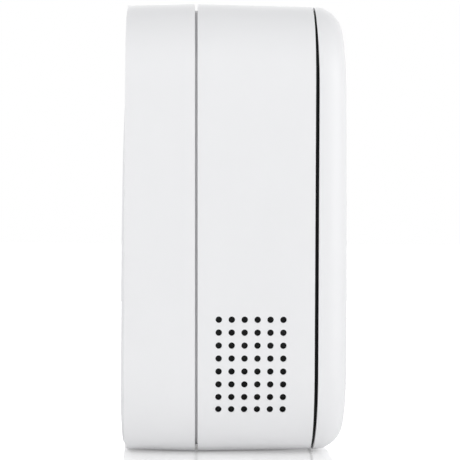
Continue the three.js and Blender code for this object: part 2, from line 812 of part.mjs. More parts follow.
function rearHousing() {
  const outer = cut(
    loft([
      outline(rearFront, 0),
      outline(rearBack - rearEdge, draftInset(rearBack - rearEdge)),
      outline(rearBack, draftInset(rearBack) + rearEdge),
    ]),
    foot,
  );
  const hollow = bodyForm([rearFront - overrun, rearInside], wall);
  const lip = bodyBand([lipEnd, rearFront + overrun], grooveDepth, grooveDepth + lipThickness);
  const pocketBox = block(
    spread(0, pocketHalfWidth + pocketWall), [pocketInside, rearInside + overrun],
    [pocketBottom - pocketWall, pocketTop + pocketWall]);
  const keyholeBoxes = railPlaces.map(([side, bottom]) => keyholeBox(side, bottom));
  const saddles = [cellBottom + saddleInset, cellTop - saddleInset].map((z) =>
    block(
      spread(0, cellX + cellRadius * 0.8), [rearInside - saddleDepth, rearInside + overrun],
      spread(z, saddleThickness / 2)));
  const sockets = [-1, 1].map((side) =>
    block(
      spread(side * legX, clampLeg / 2 + fit + channelWall),
      [rearInside - clampSocketDepth, rearInside + overrun],
      spread(clampZ, clampHeight / 2 + fit + channelWall)));
  const supports = [-1, 1].map((side) =>
    rodY(supportRadius, [powerBoardBack + seat, pocketInside + overrun],
      side * (pocketHalfWidth - supportInset), pocketBottom + supportInset));
  const tubes = [
    ...onPosts(postRadius - tubeStep, [sleeveBack + seat, rearFront + overrun]),
    ...onPosts(postRadius + tubeSwell, [rearFront + weld, rearInside + overrun]),
  ].map((tube) => tube.intersect(bodyForm([sleeveBack, rearBack], grooveDepth)));
  const cellRoom = [-1, 1].map((side) =>
    rodZ(cellRadius + fit, [cellBottom - overrun, cellTop + cellHeadroom / 2],
      side * cellX, cellY));
  const legRoom = [-1, 1].map((side) =>
    block(
      spread(side * legX, clampLeg / 2 + fit), [rearFront, rearInside - seat],
      spread(clampZ, clampHeight / 2 + fit)));
  const inner = cut(
    join(pocketBox, keyholeBoxes, saddles, sockets, supports, lip, tubes), cellRoom, legRoom);
  const pocket = block(
    spread(0, pocketHalfWidth), [pocketFloor, rearBack + overrun], [pocketBottom, pocketTop]);
  const headRoom = block(
    spread(0, headRoomWidth / 2), [rearBack - headRoomDepth, rearBack + overrun],
    [pocketTop - overrun, plateTop - slotInset + slotLength]);
  return cut(
    join(cut(outer, hollow), inner),
    pocket,
    headRoom,
    onPosts(shankHole, [sleeveBack, rearBack], 12),
    onPosts(headHole, [screwSeat, rearBack + overrun]),
    railPlaces.map(([side, bottom]) => keyhole(side, bottom)),
    pocketOpenings(),
  );
}

add(doorbell, 'rear_housing', rearHousing(), whiteShell);

const housingSeal = bodyBand(
  [lipEnd - seat - sealHeight, lipEnd - seat], grooveDepth, wall + lipThickness / 2);
add(doorbell, 'housing_seal', cut(housingSeal, onPosts(postRadius, [0, mainBack])), rubber);

// ---------------------------------------------------------------- wall plate

/** The plate's outline, narrowing in long curves to its top and its bottom. */
function plateOutline() {
  const lowZ = plateBottom + plateLowBulge;
  const highZ = plateTop - plateHighBulge;
  const shape = new THREE.Shape();
  shape.absellipse(0, lowZ, plateHalfWidth, plateLowBulge, -Math.PI, 0, false, 0);
  shape.absellipse(0, highZ, plateHalfWidth, plateHighBulge, 0, Math.PI, false, 0);
  return shape;
}

function mountingPlate() {
  const sheet = slab(plateOutline(), [plateFront, plateBack], 16);
  const across = [plateFront - overrun, plateBack + overrun];
  const window = slab(
    roundedRectangle(spread(0, pocketHalfWidth), [pocketBottom, pocketTop], windowCorner),
    across, 3);
  const slots = [pocketTop + slotInset, plateTop - slotInset].map((z) =>
    slab(roundedRectangle(spread(0, slotHalfWidth), spread(z, slotLength / 2), slotHalfWidth),
      across, 4));
  const headBack = rearBack - railLip - fit;
  const rails = railPlaces.flatMap(([side, bottom]) => {
    const range = [bottom, bottom + railLength];
    return [
      block(spread(side * railX, railNeck), [headBack - seat, plateFront + seat], range),
      block(spread(side * railX, railHead), [headBack - railHeadThickness, headBack], range),
    ];
  });
  return join(cut(sheet, window, slots), rails);
}

add(doorbell, 'mounting_plate', mountingPlate(), whiteShell);

// ---------------------------------------------------------------- front cover

const capHoleRadius = capRadius + ringGap + ringWidth + fit;

function frontCover() {
  const through = [crestY - overrun, coverBack];
  const pirHole = roundedRectangle(
    spread(0, pirLength / 2 + fit), spread(pirZ, pirHeight / 2 + fit), pirHeight / 2 + fit);
  return cut(
    coverForm(0),
    coverForm(wall),
    rodY(bezelRadius + fit, through, 0, cameraZ, 24),
    rodY(capHoleRadius, through, 0, buttonZ, 24),
    slab(pirHole, through),
    rodY(microphoneHole, through, 0, microphoneZ, 10),
  );
}

add(doorbell, 'front_cover', frontCover(), whiteShell);

// ---------------------------------------------------------------- camera

const camera = moduleAt(0, cameraZ);
const bezelBack = coverBack - bezelSetback;
const windowBack = bezelBack - ledgeHeight;
const windowRadius = bezelRadius - bezelWidth;
const ledBoardFront = bezelBack + seat;
const barrelFront = windowBack + barrelGap;
const barrelBack = barrelFront + barrelLength;
const forward = [crestY - overrun, bezelBack];
const filterX = -holderWidth / 2 + holderWall + fit;
const filterFront = barrelBack + 2 * seat;

function cameraBezel() {
  const body = ringY(windowRadius, bezelRadius, forward).intersect(coverForm(seat, cameraZ));
  const flange = ringY(windowRadius - weld, bezelRadius + bezelFlange, forward)
    .intersect(coverForm(wall + seat, cameraZ));
  const bore = rodY(windowRadius, [crestY - overrun, windowBack], 0, 0, 24);
  const ledge = ringY(windowRadius - ledgeWidth, windowRadius + weld, [windowBack, bezelBack]);
  return join(cut(join(body, flange), bore), ledge);
}

function cameraWindow() {
  const disc = rodY(windowRadius - seat, [crestY - overrun, windowBack - seat], 0, 0, 24);
  return disc.intersect(coverForm(windowDip, cameraZ));
}

function ledBoard() {
  const inner = barrelRadius + ledBoardGap;
  const board = ringY(inner, bezelRadius + bezelFlange - fit,
    [ledBoardFront, ledBoardFront + boardThickness]);
  const radius = (inner + windowRadius - ledgeWidth) / 2;
  const leds = [];
  for (let i = 0; i < ledCount; i += 1) {
    const angle = ((i + 0.5) / ledCount) * Math.PI * 2;
    leds.push(rodY(ledRadius, [windowBack + ledDip, ledBoardFront + weld],
      radius * Math.cos(angle), radius * Math.sin(angle), 10));
  }
  return join(board, leds);
}

function lensBarrel() {
  const shoulder = holderFront - seat - barrelShoulder;
  const bore = threadRadius - barrelWall;
  return turned([
    [bore, barrelBack], [bore, barrelFront + lensSeatDepth],
    [lensRadius, barrelFront + lensSeatDepth], [lensRadius, barrelFront + barrelBevel],
    [barrelRadius - barrelBevel, barrelFront], [barrelRadius, barrelFront + barrelBevel],
    [barrelRadius, shoulder], [threadRadius, shoulder], [threadRadius, barrelBack],
  ], 24);
}

function lensGlass() {
  const radius = lensRadius - seat;
  const front = barrelFront + lensRecess;
  return turned([
    [0, front], [radius * 0.5, front + lensBulge * 0.2], [radius * 0.85, front + lensBulge * 0.6],
    [radius, front + lensBulge], [radius, front + lensThickness], [0, front + lensThickness],
  ], 24);
}

function lensHolder() {
  const back = mainBoardFront - seat;
  const box = block(spread(0, holderWidth / 2), [holderFront, back], spread(0, holderHeight / 2));
  const nozzle = rodY(
    threadRadius + holderWall, [holderFront - nozzleLength, holderFront + seat], 0, 0, 24);
  const bore = rodY(
    threadRadius + seat, [holderFront - nozzleLength - overrun, barrelBack + seat], 0, 0, 24);
  const filterRoom = block(
    [filterX - fit, filterX + filterWidth + filterTravel + fit],
    [filterFront - seat, filterFront + filterThickness + 2 * seat],
    spread(0, filterHeight / 2 + fit));
  const sensorRoom = block(
    spread(0, sensorSize / 2 + fit + sensorMargin), [barrelBack, back + overrun],
    spread(0, sensorSize / 2 + fit));
  return cut(join(box, nozzle), bore, filterRoom, sensorRoom);
}

const irCutFilter = block(
  [filterX, filterX + filterWidth], [filterFront, filterFront + filterThickness],
  spread(0, filterHeight / 2));

add(camera, 'camera_bezel', cameraBezel(), blackGloss);
add(camera, 'camera_window', cameraWindow(), clearGlass);
add(camera, 'ir_led_board', ledBoard(), boardBlack);
add(camera, 'lens_barrel', lensBarrel(), blackShell);
add(camera, 'lens_glass', lensGlass(), clearGlass);
add(camera, 'lens_holder', lensHolder(), blackShell);
add(camera, 'ir_cut_filter', irCutFilter, clearGlass);

function imageSensor() {
  const back = mainBoardFront - seat;
  return block(
    spread(0, sensorSize / 2), [back - sensorThickness, back], spread(0, sensorSize / 2));
}

function cameraBoard() {
  const back = mainBoardFront + boardThickness;
  const edge = -cameraBoardHeight / 2;
  const board = block(
    spread(0, cameraBoardWidth / 2), [mainBoardFront, back], spread(0, cameraBoardHeight / 2));
  const connector = block(
    spread(0, cableWidth / 2 + cableMargin), [back - seat, connectorBack + 2 * seat],
    [edge + cableMargin, edge + cableSocketLength]);
  const tail = block(
    spread(0, cableWidth / 2), [connectorBack + seat, connectorBack + seat + tailThickness],
    [mainBoardTop - cableSocketLength - cameraZ, edge + cableSocketLength]);
  const pinHoles = [-1, 1].map((side) =>
    rodY(cameraPinRadius + seat, spread(mainBoardFront, boardThickness * 2),
      side * cameraPinX, 0));
  return cut(join(board, connector, tail), pinHoles);
}

add(camera, 'image_sensor', imageSensor(), chipBlack);
add(camera, 'camera_board', cameraBoard(), boardGreen);

// ---------------------------------------------------------------- motion sensor

const pir = moduleAt(0, pirZ);
const pirBack = coverBack - pirSetback;
const pill = (grow) =>
  roundedRectangle(
    spread(0, pirLength / 2 + grow), spread(0, pirHeight / 2 + grow), pirHeight / 2 + grow);

function pirLens() {
  const range = [crestY - overrun, pirBack];
  const body = slab(pill(0), range).intersect(coverForm(seat, pirZ));
  const flange = slab(pill(pirFlange), range).intersect(coverForm(wall + seat, pirZ));
  const hollow = slab(pill(-pirSkin), [crestY - overrun, pirBack + overrun])
    .intersect(coverForm(pirSkin + seat, pirZ));
  return cut(join(body, flange), hollow);
}

function pirSensor() {
  const back = frontBoardFront - seat;
  const front = back - pirCanHeight;
  return turned([
    [0, front], [pirCanRadius - pirCanRim, front], [pirCanRadius, front + pirCanRim],
    [pirCanRadius, back - pirCanRim], [pirCanRadius + pirCanRim, back - pirCanRim],
    [pirCanRadius + pirCanRim, back], [0, back],
  ]);
}

const sensorBoard = block(
  spread(0, pirLength / 2 + sensorBoardMargin), [frontBoardFront, frontBoardBack],
  spread(0, pirHeight / 2 + sensorBoardMargin));

add(pir, 'pir_lens', pirLens(), whiteSoft);
add(pir, 'pir_sensor', pirSensor(), tin);
add(pir, 'sensor_board', sensorBoard, boardGreen);

// ---------------------------------------------------------------- button

const button = moduleAt(0, buttonZ);
const shelfY = coverBack - ringShelf;
const skirtBack = shelfY + ringSkirt;
const ringInner = capRadius + ringGap;
const ringOuter = ringInner + ringWidth;
const switchFront = frontBoardFront - seat - switchHeight;
const stemFront = switchFront - stemProud;
const stemLength = stemProud + capTravel + stemGrip;

function buttonCap() {
  const front = [crestY - overrun, shelfY + seat + capFlangeHeight];
  const body = rodY(capRadius, front, 0, 0, 24).intersect(coverForm(capDip, buttonZ));
  const flange = rodY(capRadius + capFlange, [shelfY + seat, front[1]], 0, 0, 24);
  const hollow = ringY(
    plungerRadius + plungerRing, capRadius - capWall, [shelfY - capHollow, front[1] + overrun]);
  const plunger = rodY(plungerRadius, [front[1] - overrun, stemFront - seat]);
  return join(cut(join(body, flange), hollow), plunger);
}

function buttonLightRing() {
  const range = [crestY - overrun, shelfY];
  const face = ringY(ringInner, ringOuter, range).intersect(coverForm(seat, buttonZ));
  const skirt = ringY(capRadius + capFlange + fit, ringOuter, [shelfY - weld, skirtBack]);
  const flange = ringY(
    ringOuter - weld, ringOuter + ringFlange, [crestY, coverBack - ringFlangeSetback])
    .intersect(coverForm(wall + seat, buttonZ));
  return join(face, skirt, flange);
}

function buttonBoard() {
  const range = [frontBoardFront, frontBoardBack];
  const disc = rodY(buttonBoardRadius, range, 0, 0, 24);
  const drop = microphoneZ - buttonZ - microphoneSize;
  const tab = block(
    spread(0, microphoneSize + tabMargin), range, [drop, -buttonBoardRadius + ringLedInset]);
  const leds = [];
  for (let i = 0; i < ringLedCount; i += 1) {
    const angle = (i / ringLedCount) * Math.PI * 2;
    const radius = buttonBoardRadius - ringLedInset;
    const led = new THREE.BoxGeometry(ringLedSize, ringLedHeight + seat, ringLedSize);
    led.rotateY(-angle).translate(
      radius * Math.cos(angle), frontBoardFront - ringLedHeight / 2, radius * Math.sin(angle));
    leds.push(solid(led));
  }
  return join(disc, tab, leds);
}

function buttonSwitch() {
  const body = block(
    spread(0, switchSize / 2), [switchFront, frontBoardFront - seat], spread(0, switchSize / 2));
  const depth = stemLength - stemProud + capTravel + seat;
  return cut(body, rodY(stemRadius + seat, [switchFront - overrun, switchFront + depth]));
}

add(button, 'button_cap', buttonCap(), whiteShell);
add(button, 'button_light_ring', buttonLightRing(), whiteSoft);
add(button, 'button_board', buttonBoard(), boardGreen);
add(button, 'button_switch', buttonSwitch(), blackShell);
add(button, 'button_switch_stem', rodY(stemRadius, [stemFront, stemFront + stemLength]), whiteSoft);

// ---------------------------------------------------------------- microphone

const microphone = moduleAt(0, microphoneZ);
const microphoneFront = frontBoardFront - seat - microphoneHeight;

function microphoneBoot() {
  const front = rodY(bootRadius, [crestY, microphoneFront - seat])
    .intersect(coverForm(wall + seat, microphoneZ));
  return cut(front, rodY(microphoneHole, [crestY, frontBoardFront], 0, 0, 10));
}

const microphoneCan = block(
  spread(0, microphoneSize / 2), [microphoneFront, frontBoardFront - seat],
  spread(0, microphoneSize * 0.4));

add(microphone, 'microphone', microphoneCan, tin);
add(microphone, 'microphone_boot', microphoneBoot(), rubber);

// ---------------------------------------------------------------- main board

const batteryPlug = { x: batteryPlugX, z: mainBoardTop - plugInset };
const powerPlug = { x: 0, z: mainBoardBottom + plugInset };
const speakerPlug = { x: speakerPlugX, z: speakerZ + earZ + plugInset };

/** A wire socket that stands on the back of the main board. */
const boardSocket = ({ x, z }) =>
  block(
    spread(x, socketWidth / 2), [mainBoardBack - seat, mainBoardBack + socketHeight],
    spread(z, socketLength / 2));

function mainBoard() {
  const range = [mainBoardFront, mainBoardBack];
  const through = [mainBoardFront - overrun, mainBoardBack + overrun];
  const outer = roundedRectangle(
    spread(0, mainBoardHalfWidth), [mainBoardBottom, mainBoardTop], mainBoardCorner);
  const notch = block(
    [-bodyWidth, -speakerFaceX + speakerDepth + magnetDepth + notchRoom], through,
    [0, speakerZ + earZ + earRadius + notchRoom / 2]);
  const holes = boardScrews.map(([x, z]) => rodY(smallShank + fit, through, x, z, 10));
  const capacitors = [0, 1].map((i) =>
    rodY(capacitorRadius, [mainBoardBack - seat, mainBoardBack + capacitorHeight],
      capacitorX, mainBoardBottom + capacitorRise + i * capacitorPitch));
  const cableSocket = block(
    spread(0, cableWidth / 2 + cableMargin), [mainBoardBack - seat, connectorBack],
    [mainBoardTop - cableMargin - cableSocketLength, mainBoardTop - cableMargin]);
  const sockets = [batteryPlug, powerPlug, speakerPlug].map(boardSocket);
  return join(cut(slab(outer, range, 3), notch, holes), capacitors, cableSocket, sockets);
}

function processorShield() {
  const front = mainBoardBack + seat;
  const can = (shrink, range) => block(
    spread(shieldX, shieldSize / 2 - shrink), range,
    spread(mainBoardTop - shieldDrop, shieldSize / 2 - shrink));
  return cut(
    can(0, [front, front + shieldHeight]),
    can(shieldSkin, [front - overrun, front + shieldHeight - shieldSkin]));
}

function wifiModule() {
  const front = mainBoardBack + seat;
  const z = mainBoardTop - wifiDrop;
  const canBottom = z - wifiLength / 2 + wifiCanInset;
  const base = block(
    spread(wifiX, wifiWidth / 2), [front, front + wifiBase], spread(z, wifiLength / 2));
  const can = block(
    spread(wifiX, wifiWidth / 2 - wifiCanInset),
    [front + wifiBase - seat, front + wifiBase + wifiCanHeight],
    [canBottom, canBottom + wifiCanLength]);
  return join(base, can);
}

function wifiAntenna() {
  const front = frameBack + antennaSetback;
  const top = mainBoardTop + antennaRise;
  const band = bodyBand(
    [front, front + antennaWidth], wall + seat, wall + seat + antennaThickness);
  return band.intersect(
    block([0, bodyWidth], spread(0, totalDepth), [top - antennaLength, top]));
}

add(doorbell, 'main_board', mainBoard(), boardGreen);
add(doorbell, 'processor_shield', processorShield(), tin);
add(doorbell, 'wifi_module', wifiModule(), tin);
add(doorbell, 'wifi_antenna', wifiAntenna(), boardBlack);
boardScrews.forEach(([x, z], i) => {
  const made = screw(smallShank, smallHead, smallHeadHeight, mainBoardStandoff);
  add(doorbell, `board_screw_${i + 1}`, made, steel, [x, mainBoardBack + seat, z]);
});

// ---------------------------------------------------------------- speaker

const speaker = moduleAt(0, speakerZ);
const speakerBack = -speakerFaceX + speakerDepth;
const frameRange = [spread(speakerY, speakerWidth / 2), spread(0, speakerHeight / 2)];

function speakerGasket() {
  const outer = grilleBand(
    wall + meshProud + seat, bodyWidth / 4, speakerWidth / 2, speakerHeight / 2);
  const hole = block(
    [-bodyWidth, 0], spread(speakerY, speakerWidth / 2 - speakerWall),
    spread(0, speakerHeight / 2 - speakerWall));
  return cut(outer, hole);
}

function speakerFrame() {
  const box = block([-speakerFaceX, speakerBack], ...frameRange);
  const ears = earYs.flatMap((y) => [
    rodX(earRadius, [-speakerFaceX, -speakerFaceX + earThickness], y, earZ),
    block(
      [-speakerFaceX, -speakerFaceX + earThickness], spread(y, earRadius),
      [speakerHeight / 2 - seat, earZ]),
  ]);
  const bowl = rodX(
    coneRadius + bowlMargin, [-speakerFaceX - overrun, speakerBack - bowlFloor], speakerY, 0, 24);
  const throat = rodX(coneRadius * 0.5, [-speakerFaceX, speakerBack + overrun], speakerY, 0, 20);
  const bores = earYs.map((y) =>
    rodX(smallShank + fit, spread(-speakerFaceX, earThickness * 2), y, earZ, 10));
  return cut(join(box, ears), bowl, throat, bores);
}

function speakerCone() {
  const skin = coneRoll / 2;
  const rim = skin / 2;
  const profile = [
    [0, coneDepth * 0.65], [coneRadius * 0.35, coneDepth * 0.5],
    [coneRadius * 0.42, coneDepth * 0.76], [coneRadius * 0.86, rim + skin * 0.8],
    [coneRadius * 0.93, rim], [coneRadius, rim + skin], [coneRadius, rim + 2 * skin],
    [coneRadius * 0.86, rim + 2 * skin], [coneRadius * 0.44, coneDepth], [0, coneDepth],
  ];
  return turned(profile, 24).rotate([0, 0, -90])
    .translate(-speakerFaceX + coneDip, speakerY, 0);
}

const speakerMesh = grilleBand(
  grilleWall + seat, wall + meshProud, recessHalfY - fit, recessHalfZ - fit);
const magnetFront = speakerBack + seat;
const speakerMagnet = join(
  rodX(magnetRadius, [magnetFront, magnetFront + magnetDepth], speakerY, 0, 24),
  rodX(coneRadius * 0.5 - fit, [magnetFront - magnetBite, magnetFront + seat], speakerY, 0, 20));

add(speaker, 'speaker_mesh', speakerMesh, cable);
add(speaker, 'speaker_gasket', speakerGasket(), rubber);
add(speaker, 'speaker_frame', speakerFrame(), blackShell);
add(speaker, 'speaker_cone', speakerCone(), cable);
add(speaker, 'speaker_magnet', speakerMagnet, steel);
['front', 'rear'].forEach((name, i) => {
  const made = screw(smallShank, smallHead, smallHeadHeight, earThickness + speakerScrewBite);
  const place = [-speakerFaceX + earThickness + seat, earYs[i], earZ];
  add(speaker, `speaker_screw_${name}`, made, steel, place, [0, 0, -Math.PI / 2]);
});

const speakerPlugRise = speakerPlug.z - speakerZ - socketLength / 2;
const speakerLead = lead(thinLeadRadius, [
  [speakerBack + thinLeadRadius * 1.5, speakerY, speakerHeight / 2 - earRadius * 0.7],
  [speakerBack + earRadius, speakerY - thinLeadRadius / 2, speakerHeight / 2 + earRadius * 0.7],
  [speakerPlug.x - socketLength, mainBoardBack + socketHeight * 0.75, speakerPlugRise - earRadius],
  [speakerPlug.x, mainBoardBack + socketHeight / 2, speakerPlugRise - thinLeadRadius],
], 10);
add(speaker, 'speaker_lead', speakerLead, cable);

// ---------------------------------------------------------------- battery

function batteryCell() {
  const length = cellTop - cellBottom;
  return join(
    rodZ(cellRadius, [0, length - cellCapHeight], 0, 0),
    rodZ(cellCapRadius, [length - cellCapHeight - weld, length], 0, 0, 12));
}

function batteryClamp() {
  const front = cellY - cellRadius - fit - clampThickness;
  const z = spread(clampZ, clampHeight / 2);
  const bridge = block(spread(0, legX + clampLeg / 2), [front, cellY], z);
  const legs = [-1, 1].map((side) =>
    block(spread(side * legX, clampLeg / 2), [front, rearInside - 3 * seat], z));
  const cells = [-1, 1].map((side) =>
    rodZ(cellRadius + fit, spread(clampZ, clampHeight), side * cellX, cellY));
  const middle = block(
    spread(0, cellX), [cellY - cellRadius * 0.6, cellY + overrun], spread(clampZ, clampHeight));
  return join(cut(bridge, cells, middle), legs);
}

function batteryBoard() {
  const z = cellTop + batteryBoardRise;
  const board = block(
    spread(0, cellX + batteryBoardMargin), spread(cellY, batteryBoardDepth / 2),
    [z, z + boardThickness]);
  const tabs = [-1, 1].map((side) =>
    block(
      spread(side * cellX, tabSize / 2), spread(cellY, tabSize / 2), [cellTop + seat, z + seat]));
  return join(board, tabs);
}

const batteryLink = block(
  spread(0, cellX + linkMargin), spread(cellY, linkDepth / 2),
  [cellBottom - seat - linkThickness, cellBottom - seat]);

const leadStartY = cellY - batteryBoardDepth / 2 - seat - batteryLeadRadius;
const batteryLead = lead(batteryLeadRadius, [
  [cellX, leadStartY, cellTop + batteryBoardRise + boardThickness / 2],
  [cellX + batteryLeadRadius, leadStartY - 2 * batteryLeadRadius, cellTop + seat],
  [batteryPlug.x, (cellY - cellRadius + mainBoardBack) / 2, cellTop - clampHeight],
  [batteryPlug.x, mainBoardBack + socketHeight * 0.7, batteryPlug.z + 2 * socketHeight],
  [batteryPlug.x, mainBoardBack + socketHeight / 2, batteryPlug.z + socketLength / 2 + seat],
]);

add(doorbell, 'battery_cell_left', batteryCell(), cellWrap, [-cellX, cellY, cellBottom]);
add(doorbell, 'battery_cell_right', batteryCell(), cellWrap, [cellX, cellY, cellBottom]);
add(doorbell, 'battery_clamp', batteryClamp(), blackShell);
add(doorbell, 'battery_board', batteryBoard(), boardGreen);
add(doorbell, 'battery_link', batteryLink, tin);
add(doorbell, 'battery_lead', batteryLead, cable);

// ---------------------------------------------------------------- power board

function powerBoard() {
  const range = [powerBoardFront, powerBoardBack];
  const board = block(
    spread(0, pocketHalfWidth - powerBoardMargin), range,
    [pocketBottom + powerBoardMargin, pocketTop - powerBoardMargin]);
  const socket = block(
    spread(0, socketWidth / 2), [powerBoardFront - socketHeight, powerBoardFront + seat],
    spread(pocketBottom + powerSocketRise, socketLength / 2));
  return join(board, socket);
}

function terminalBlock() {
  const range = [powerBoardBack + seat, pocketInside - seat];
  const bar = block(
    spread(0, terminalX + terminalRadius), [range[0], range[0] + terminalBar],
    spread(0, terminalRadius));
  const screwPosts = [-1, 1].map((side) => rodY(terminalRadius, range, side * terminalX));
  const threads = [-1, 1].map((side) =>
    rodY(terminalShank + seat, [range[0] + terminalFloor, range[1] + overrun], side * terminalX));
  return cut(join(bar, screwPosts), threads);
}

function usbPort() {
  const front = powerBoardBack + seat;
  const back = front + portDepth;
  const half = portHeight / 2;
  const shell = slab(
    roundedRectangle(spread(0, portWidth / 2), spread(0, half), half * 0.7), [front, back], 3);
  const mouth = slab(
    roundedRectangle(spread(0, portWidth / 2 - portSkin), spread(0, half - portSkin), half * 0.5),
    [front + portBack, back + overrun], 3);
  const tongue = block(
    spread(0, portWidth * 0.34), [front + portBack - seat, back - portBack],
    spread(0, tongueThickness / 2));
  return join(cut(shell, mouth), tongue);
}

const resetSwitchBack = powerBoardBack + seat + resetSwitchHeight;
const resetStemBack = resetSwitchBack + resetStemProud;
const resetStemLength = resetStemProud + resetTravel + stemGrip;

function resetButton() {
  const flange = [pocketInside - 2 * seat - resetFlangeHeight, pocketInside - 2 * seat];
  return join(
    rodY(resetRadius, [flange[0], pocketFloor + resetProud]),
    rodY(resetRadius + resetFlange, flange),
    rodY(resetNeck, [resetStemBack + seat, flange[0] + seat]));
}

function resetSwitch() {
  const body = block(
    spread(0, resetSwitchSize / 2), [powerBoardBack + seat, resetSwitchBack],
    spread(0, resetSwitchSize / 2));
  const depth = resetStemLength - resetStemProud + resetTravel + seat;
  return cut(
    body, rodY(resetStemRadius + seat, [resetSwitchBack - depth, resetSwitchBack + overrun]));
}

const powerSocketZ = pocketBottom + powerSocketRise;
const plugEdge = socketWidth / 2 + thinLeadRadius;
const powerLead = lead(thinLeadRadius, [
  [plugEdge, powerBoardFront - socketHeight / 2, powerSocketZ],
  [2 * plugEdge, (powerBoardFront + mainBoardBack + socketHeight) / 2, powerSocketZ],
  [2 * plugEdge, mainBoardBack + socketHeight * 1.5, powerPlug.z],
  [plugEdge, mainBoardBack + socketHeight / 2, powerPlug.z],
], 12);

add(doorbell, 'power_board', powerBoard(), boardGreen);
add(doorbell, 'terminal_block', terminalBlock(), tin, [0, 0, terminalZ]);
for (const [side, x] of [['left', -terminalX], ['right', terminalX]]) {
  const made = screw(terminalShank, terminalHead, screwHeadHeight, pocketWall + terminalBite);
  add(doorbell, `terminal_screw_${side}`, made, steel, [x, pocketFloor + seat, terminalZ]);
}
add(doorbell, 'usb_port', usbPort(), tin, [portX, 0, portZ]);
add(doorbell, 'reset_button', resetButton(), blackShell, [resetX, 0, portZ]);
add(doorbell, 'reset_switch', resetSwitch(), blackShell, [resetX, 0, portZ]);
const resetStem = rodY(resetStemRadius, [resetStemBack - resetStemLength, resetStemBack]);
add(doorbell, 'reset_switch_stem', resetStem, whiteSoft, [resetX, 0, portZ]);
add(doorbell, 'power_lead', powerLead, cable);

export default doorbell;
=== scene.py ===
import json
import math

import bmesh
import bpy
from mathutils import Matrix, Vector


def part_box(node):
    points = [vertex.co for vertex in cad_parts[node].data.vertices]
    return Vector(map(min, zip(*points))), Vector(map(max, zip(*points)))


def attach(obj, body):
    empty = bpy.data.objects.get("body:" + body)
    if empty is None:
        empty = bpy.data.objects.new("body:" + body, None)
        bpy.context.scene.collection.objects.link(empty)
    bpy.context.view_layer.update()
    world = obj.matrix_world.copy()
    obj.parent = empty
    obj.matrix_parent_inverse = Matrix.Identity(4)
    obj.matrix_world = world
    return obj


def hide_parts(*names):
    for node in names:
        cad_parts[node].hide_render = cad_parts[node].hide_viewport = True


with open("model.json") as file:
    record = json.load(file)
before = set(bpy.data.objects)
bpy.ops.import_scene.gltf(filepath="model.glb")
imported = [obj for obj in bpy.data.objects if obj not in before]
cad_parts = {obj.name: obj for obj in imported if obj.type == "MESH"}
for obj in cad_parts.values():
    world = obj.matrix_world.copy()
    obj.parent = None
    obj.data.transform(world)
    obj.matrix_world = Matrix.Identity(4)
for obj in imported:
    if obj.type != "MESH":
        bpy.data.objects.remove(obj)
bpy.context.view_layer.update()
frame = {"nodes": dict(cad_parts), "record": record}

# The looks of the video doorbell: fine outer shells over the CAD pieces, procedural
# materials for every piece, and the studio. Metres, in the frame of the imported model.

MM = 0.001

# ------------------------------------------------------------------ sizes from the frame

main_low, main_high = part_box("main_housing")

FOOT_CUT = 0.3 * MM
CORNER_REACH = 25 * MM
CORNER_POWER = 2.3
FRONT_DRAFT = math.radians(1.13)
REAR_DRAFT = math.radians(1.77)
GROOVE_WIDTH = 0.7 * MM
GROOVE_DEPTH = 1.8 * MM
GROOVE_LEAN = 0.0052  # of the groove back towards the top
LIP_THICKNESS = 1.15 * MM
WALL = 2.4 * MM
SEAT = 0.1 * MM
FIT = 0.25 * MM
COVER_FILLET = 6.0 * MM
COVER_SAG_ACROSS = 1.3 * MM
COVER_SAG_ALONG = 2.3 * MM
COVER_LEAN = 0.048
SHELL_EDGE = 0.15 * MM  # rounding of the shells' moulded edges
SEAM_EDGE = 0.08 * MM  # rounding beside the seam

BODY_WIDTH = main_high.x - main_low.x
BODY_HEIGHT = main_high.z + FOOT_CUT
MIDDLE_Z = BODY_HEIGHT / 2 - FOOT_CUT
CORNER_X = BODY_WIDTH / 2 - CORNER_REACH
CORNER_Z = BODY_HEIGHT / 2 - CORNER_REACH
MAIN_FRONT, MAIN_BACK = main_low.y, main_high.y
REAR_FRONT = MAIN_BACK + GROOVE_WIDTH
REAR_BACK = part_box("rear_housing")[1].y
COVER_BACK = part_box("front_cover")[1].y
COVER_DEPTH = 9.55 * MM
FRONT_INSET = math.tan(FRONT_DRAFT) * (MAIN_BACK - MAIN_FRONT)


def middle(node):
    """The middle of a CAD node's box."""
    low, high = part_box(node)
    return (low + high) / 2


# ------------------------------------------------------------------ the body's own forms

def draft_inset(y):
    """How far the draft has brought the outline in at a depth."""
    if y < MAIN_BACK:
        return (MAIN_BACK - y) * math.tan(FRONT_DRAFT)
    return max(0.0, y - REAR_FRONT) * math.tan(REAR_DRAFT)


def outline(inset, steps=40):
    """The body's outline as (x, z) points, inset by a distance."""
    reach = CORNER_REACH - inset
    corner = []
    for i in range(steps + 1):
        angle = min(i / steps * math.pi / 2, math.pi / 2 - 1e-9)
        x = CORNER_X + reach * math.cos(angle) ** (2 / CORNER_POWER)
        z = CORNER_Z + reach * math.sin(angle) ** (2 / CORNER_POWER)
        corner.append((x, z))
    back = corner[::-1]
    points = corner + [(-x, z) for x, z in back]
    points += [(-x, -z) for x, z in corner] + [(x, -z) for x, z in back]
    return [(x, MIDDLE_Z + z) for x, z in points]


def dome_depth(x, z):
    """How far the cover's dome stands in front of its back edge."""
    edge = FRONT_INSET + COVER_FILLET
    across = (x / (BODY_WIDTH / 2 - edge)) ** 2
    along = ((z - MIDDLE_Z) / (BODY_HEIGHT / 2 - edge)) ** 2
    shared = min(COVER_SAG_ACROSS, COVER_SAG_ALONG) * across * along
    return COVER_DEPTH - COVER_SAG_ACROSS * across - COVER_SAG_ALONG * along + shared


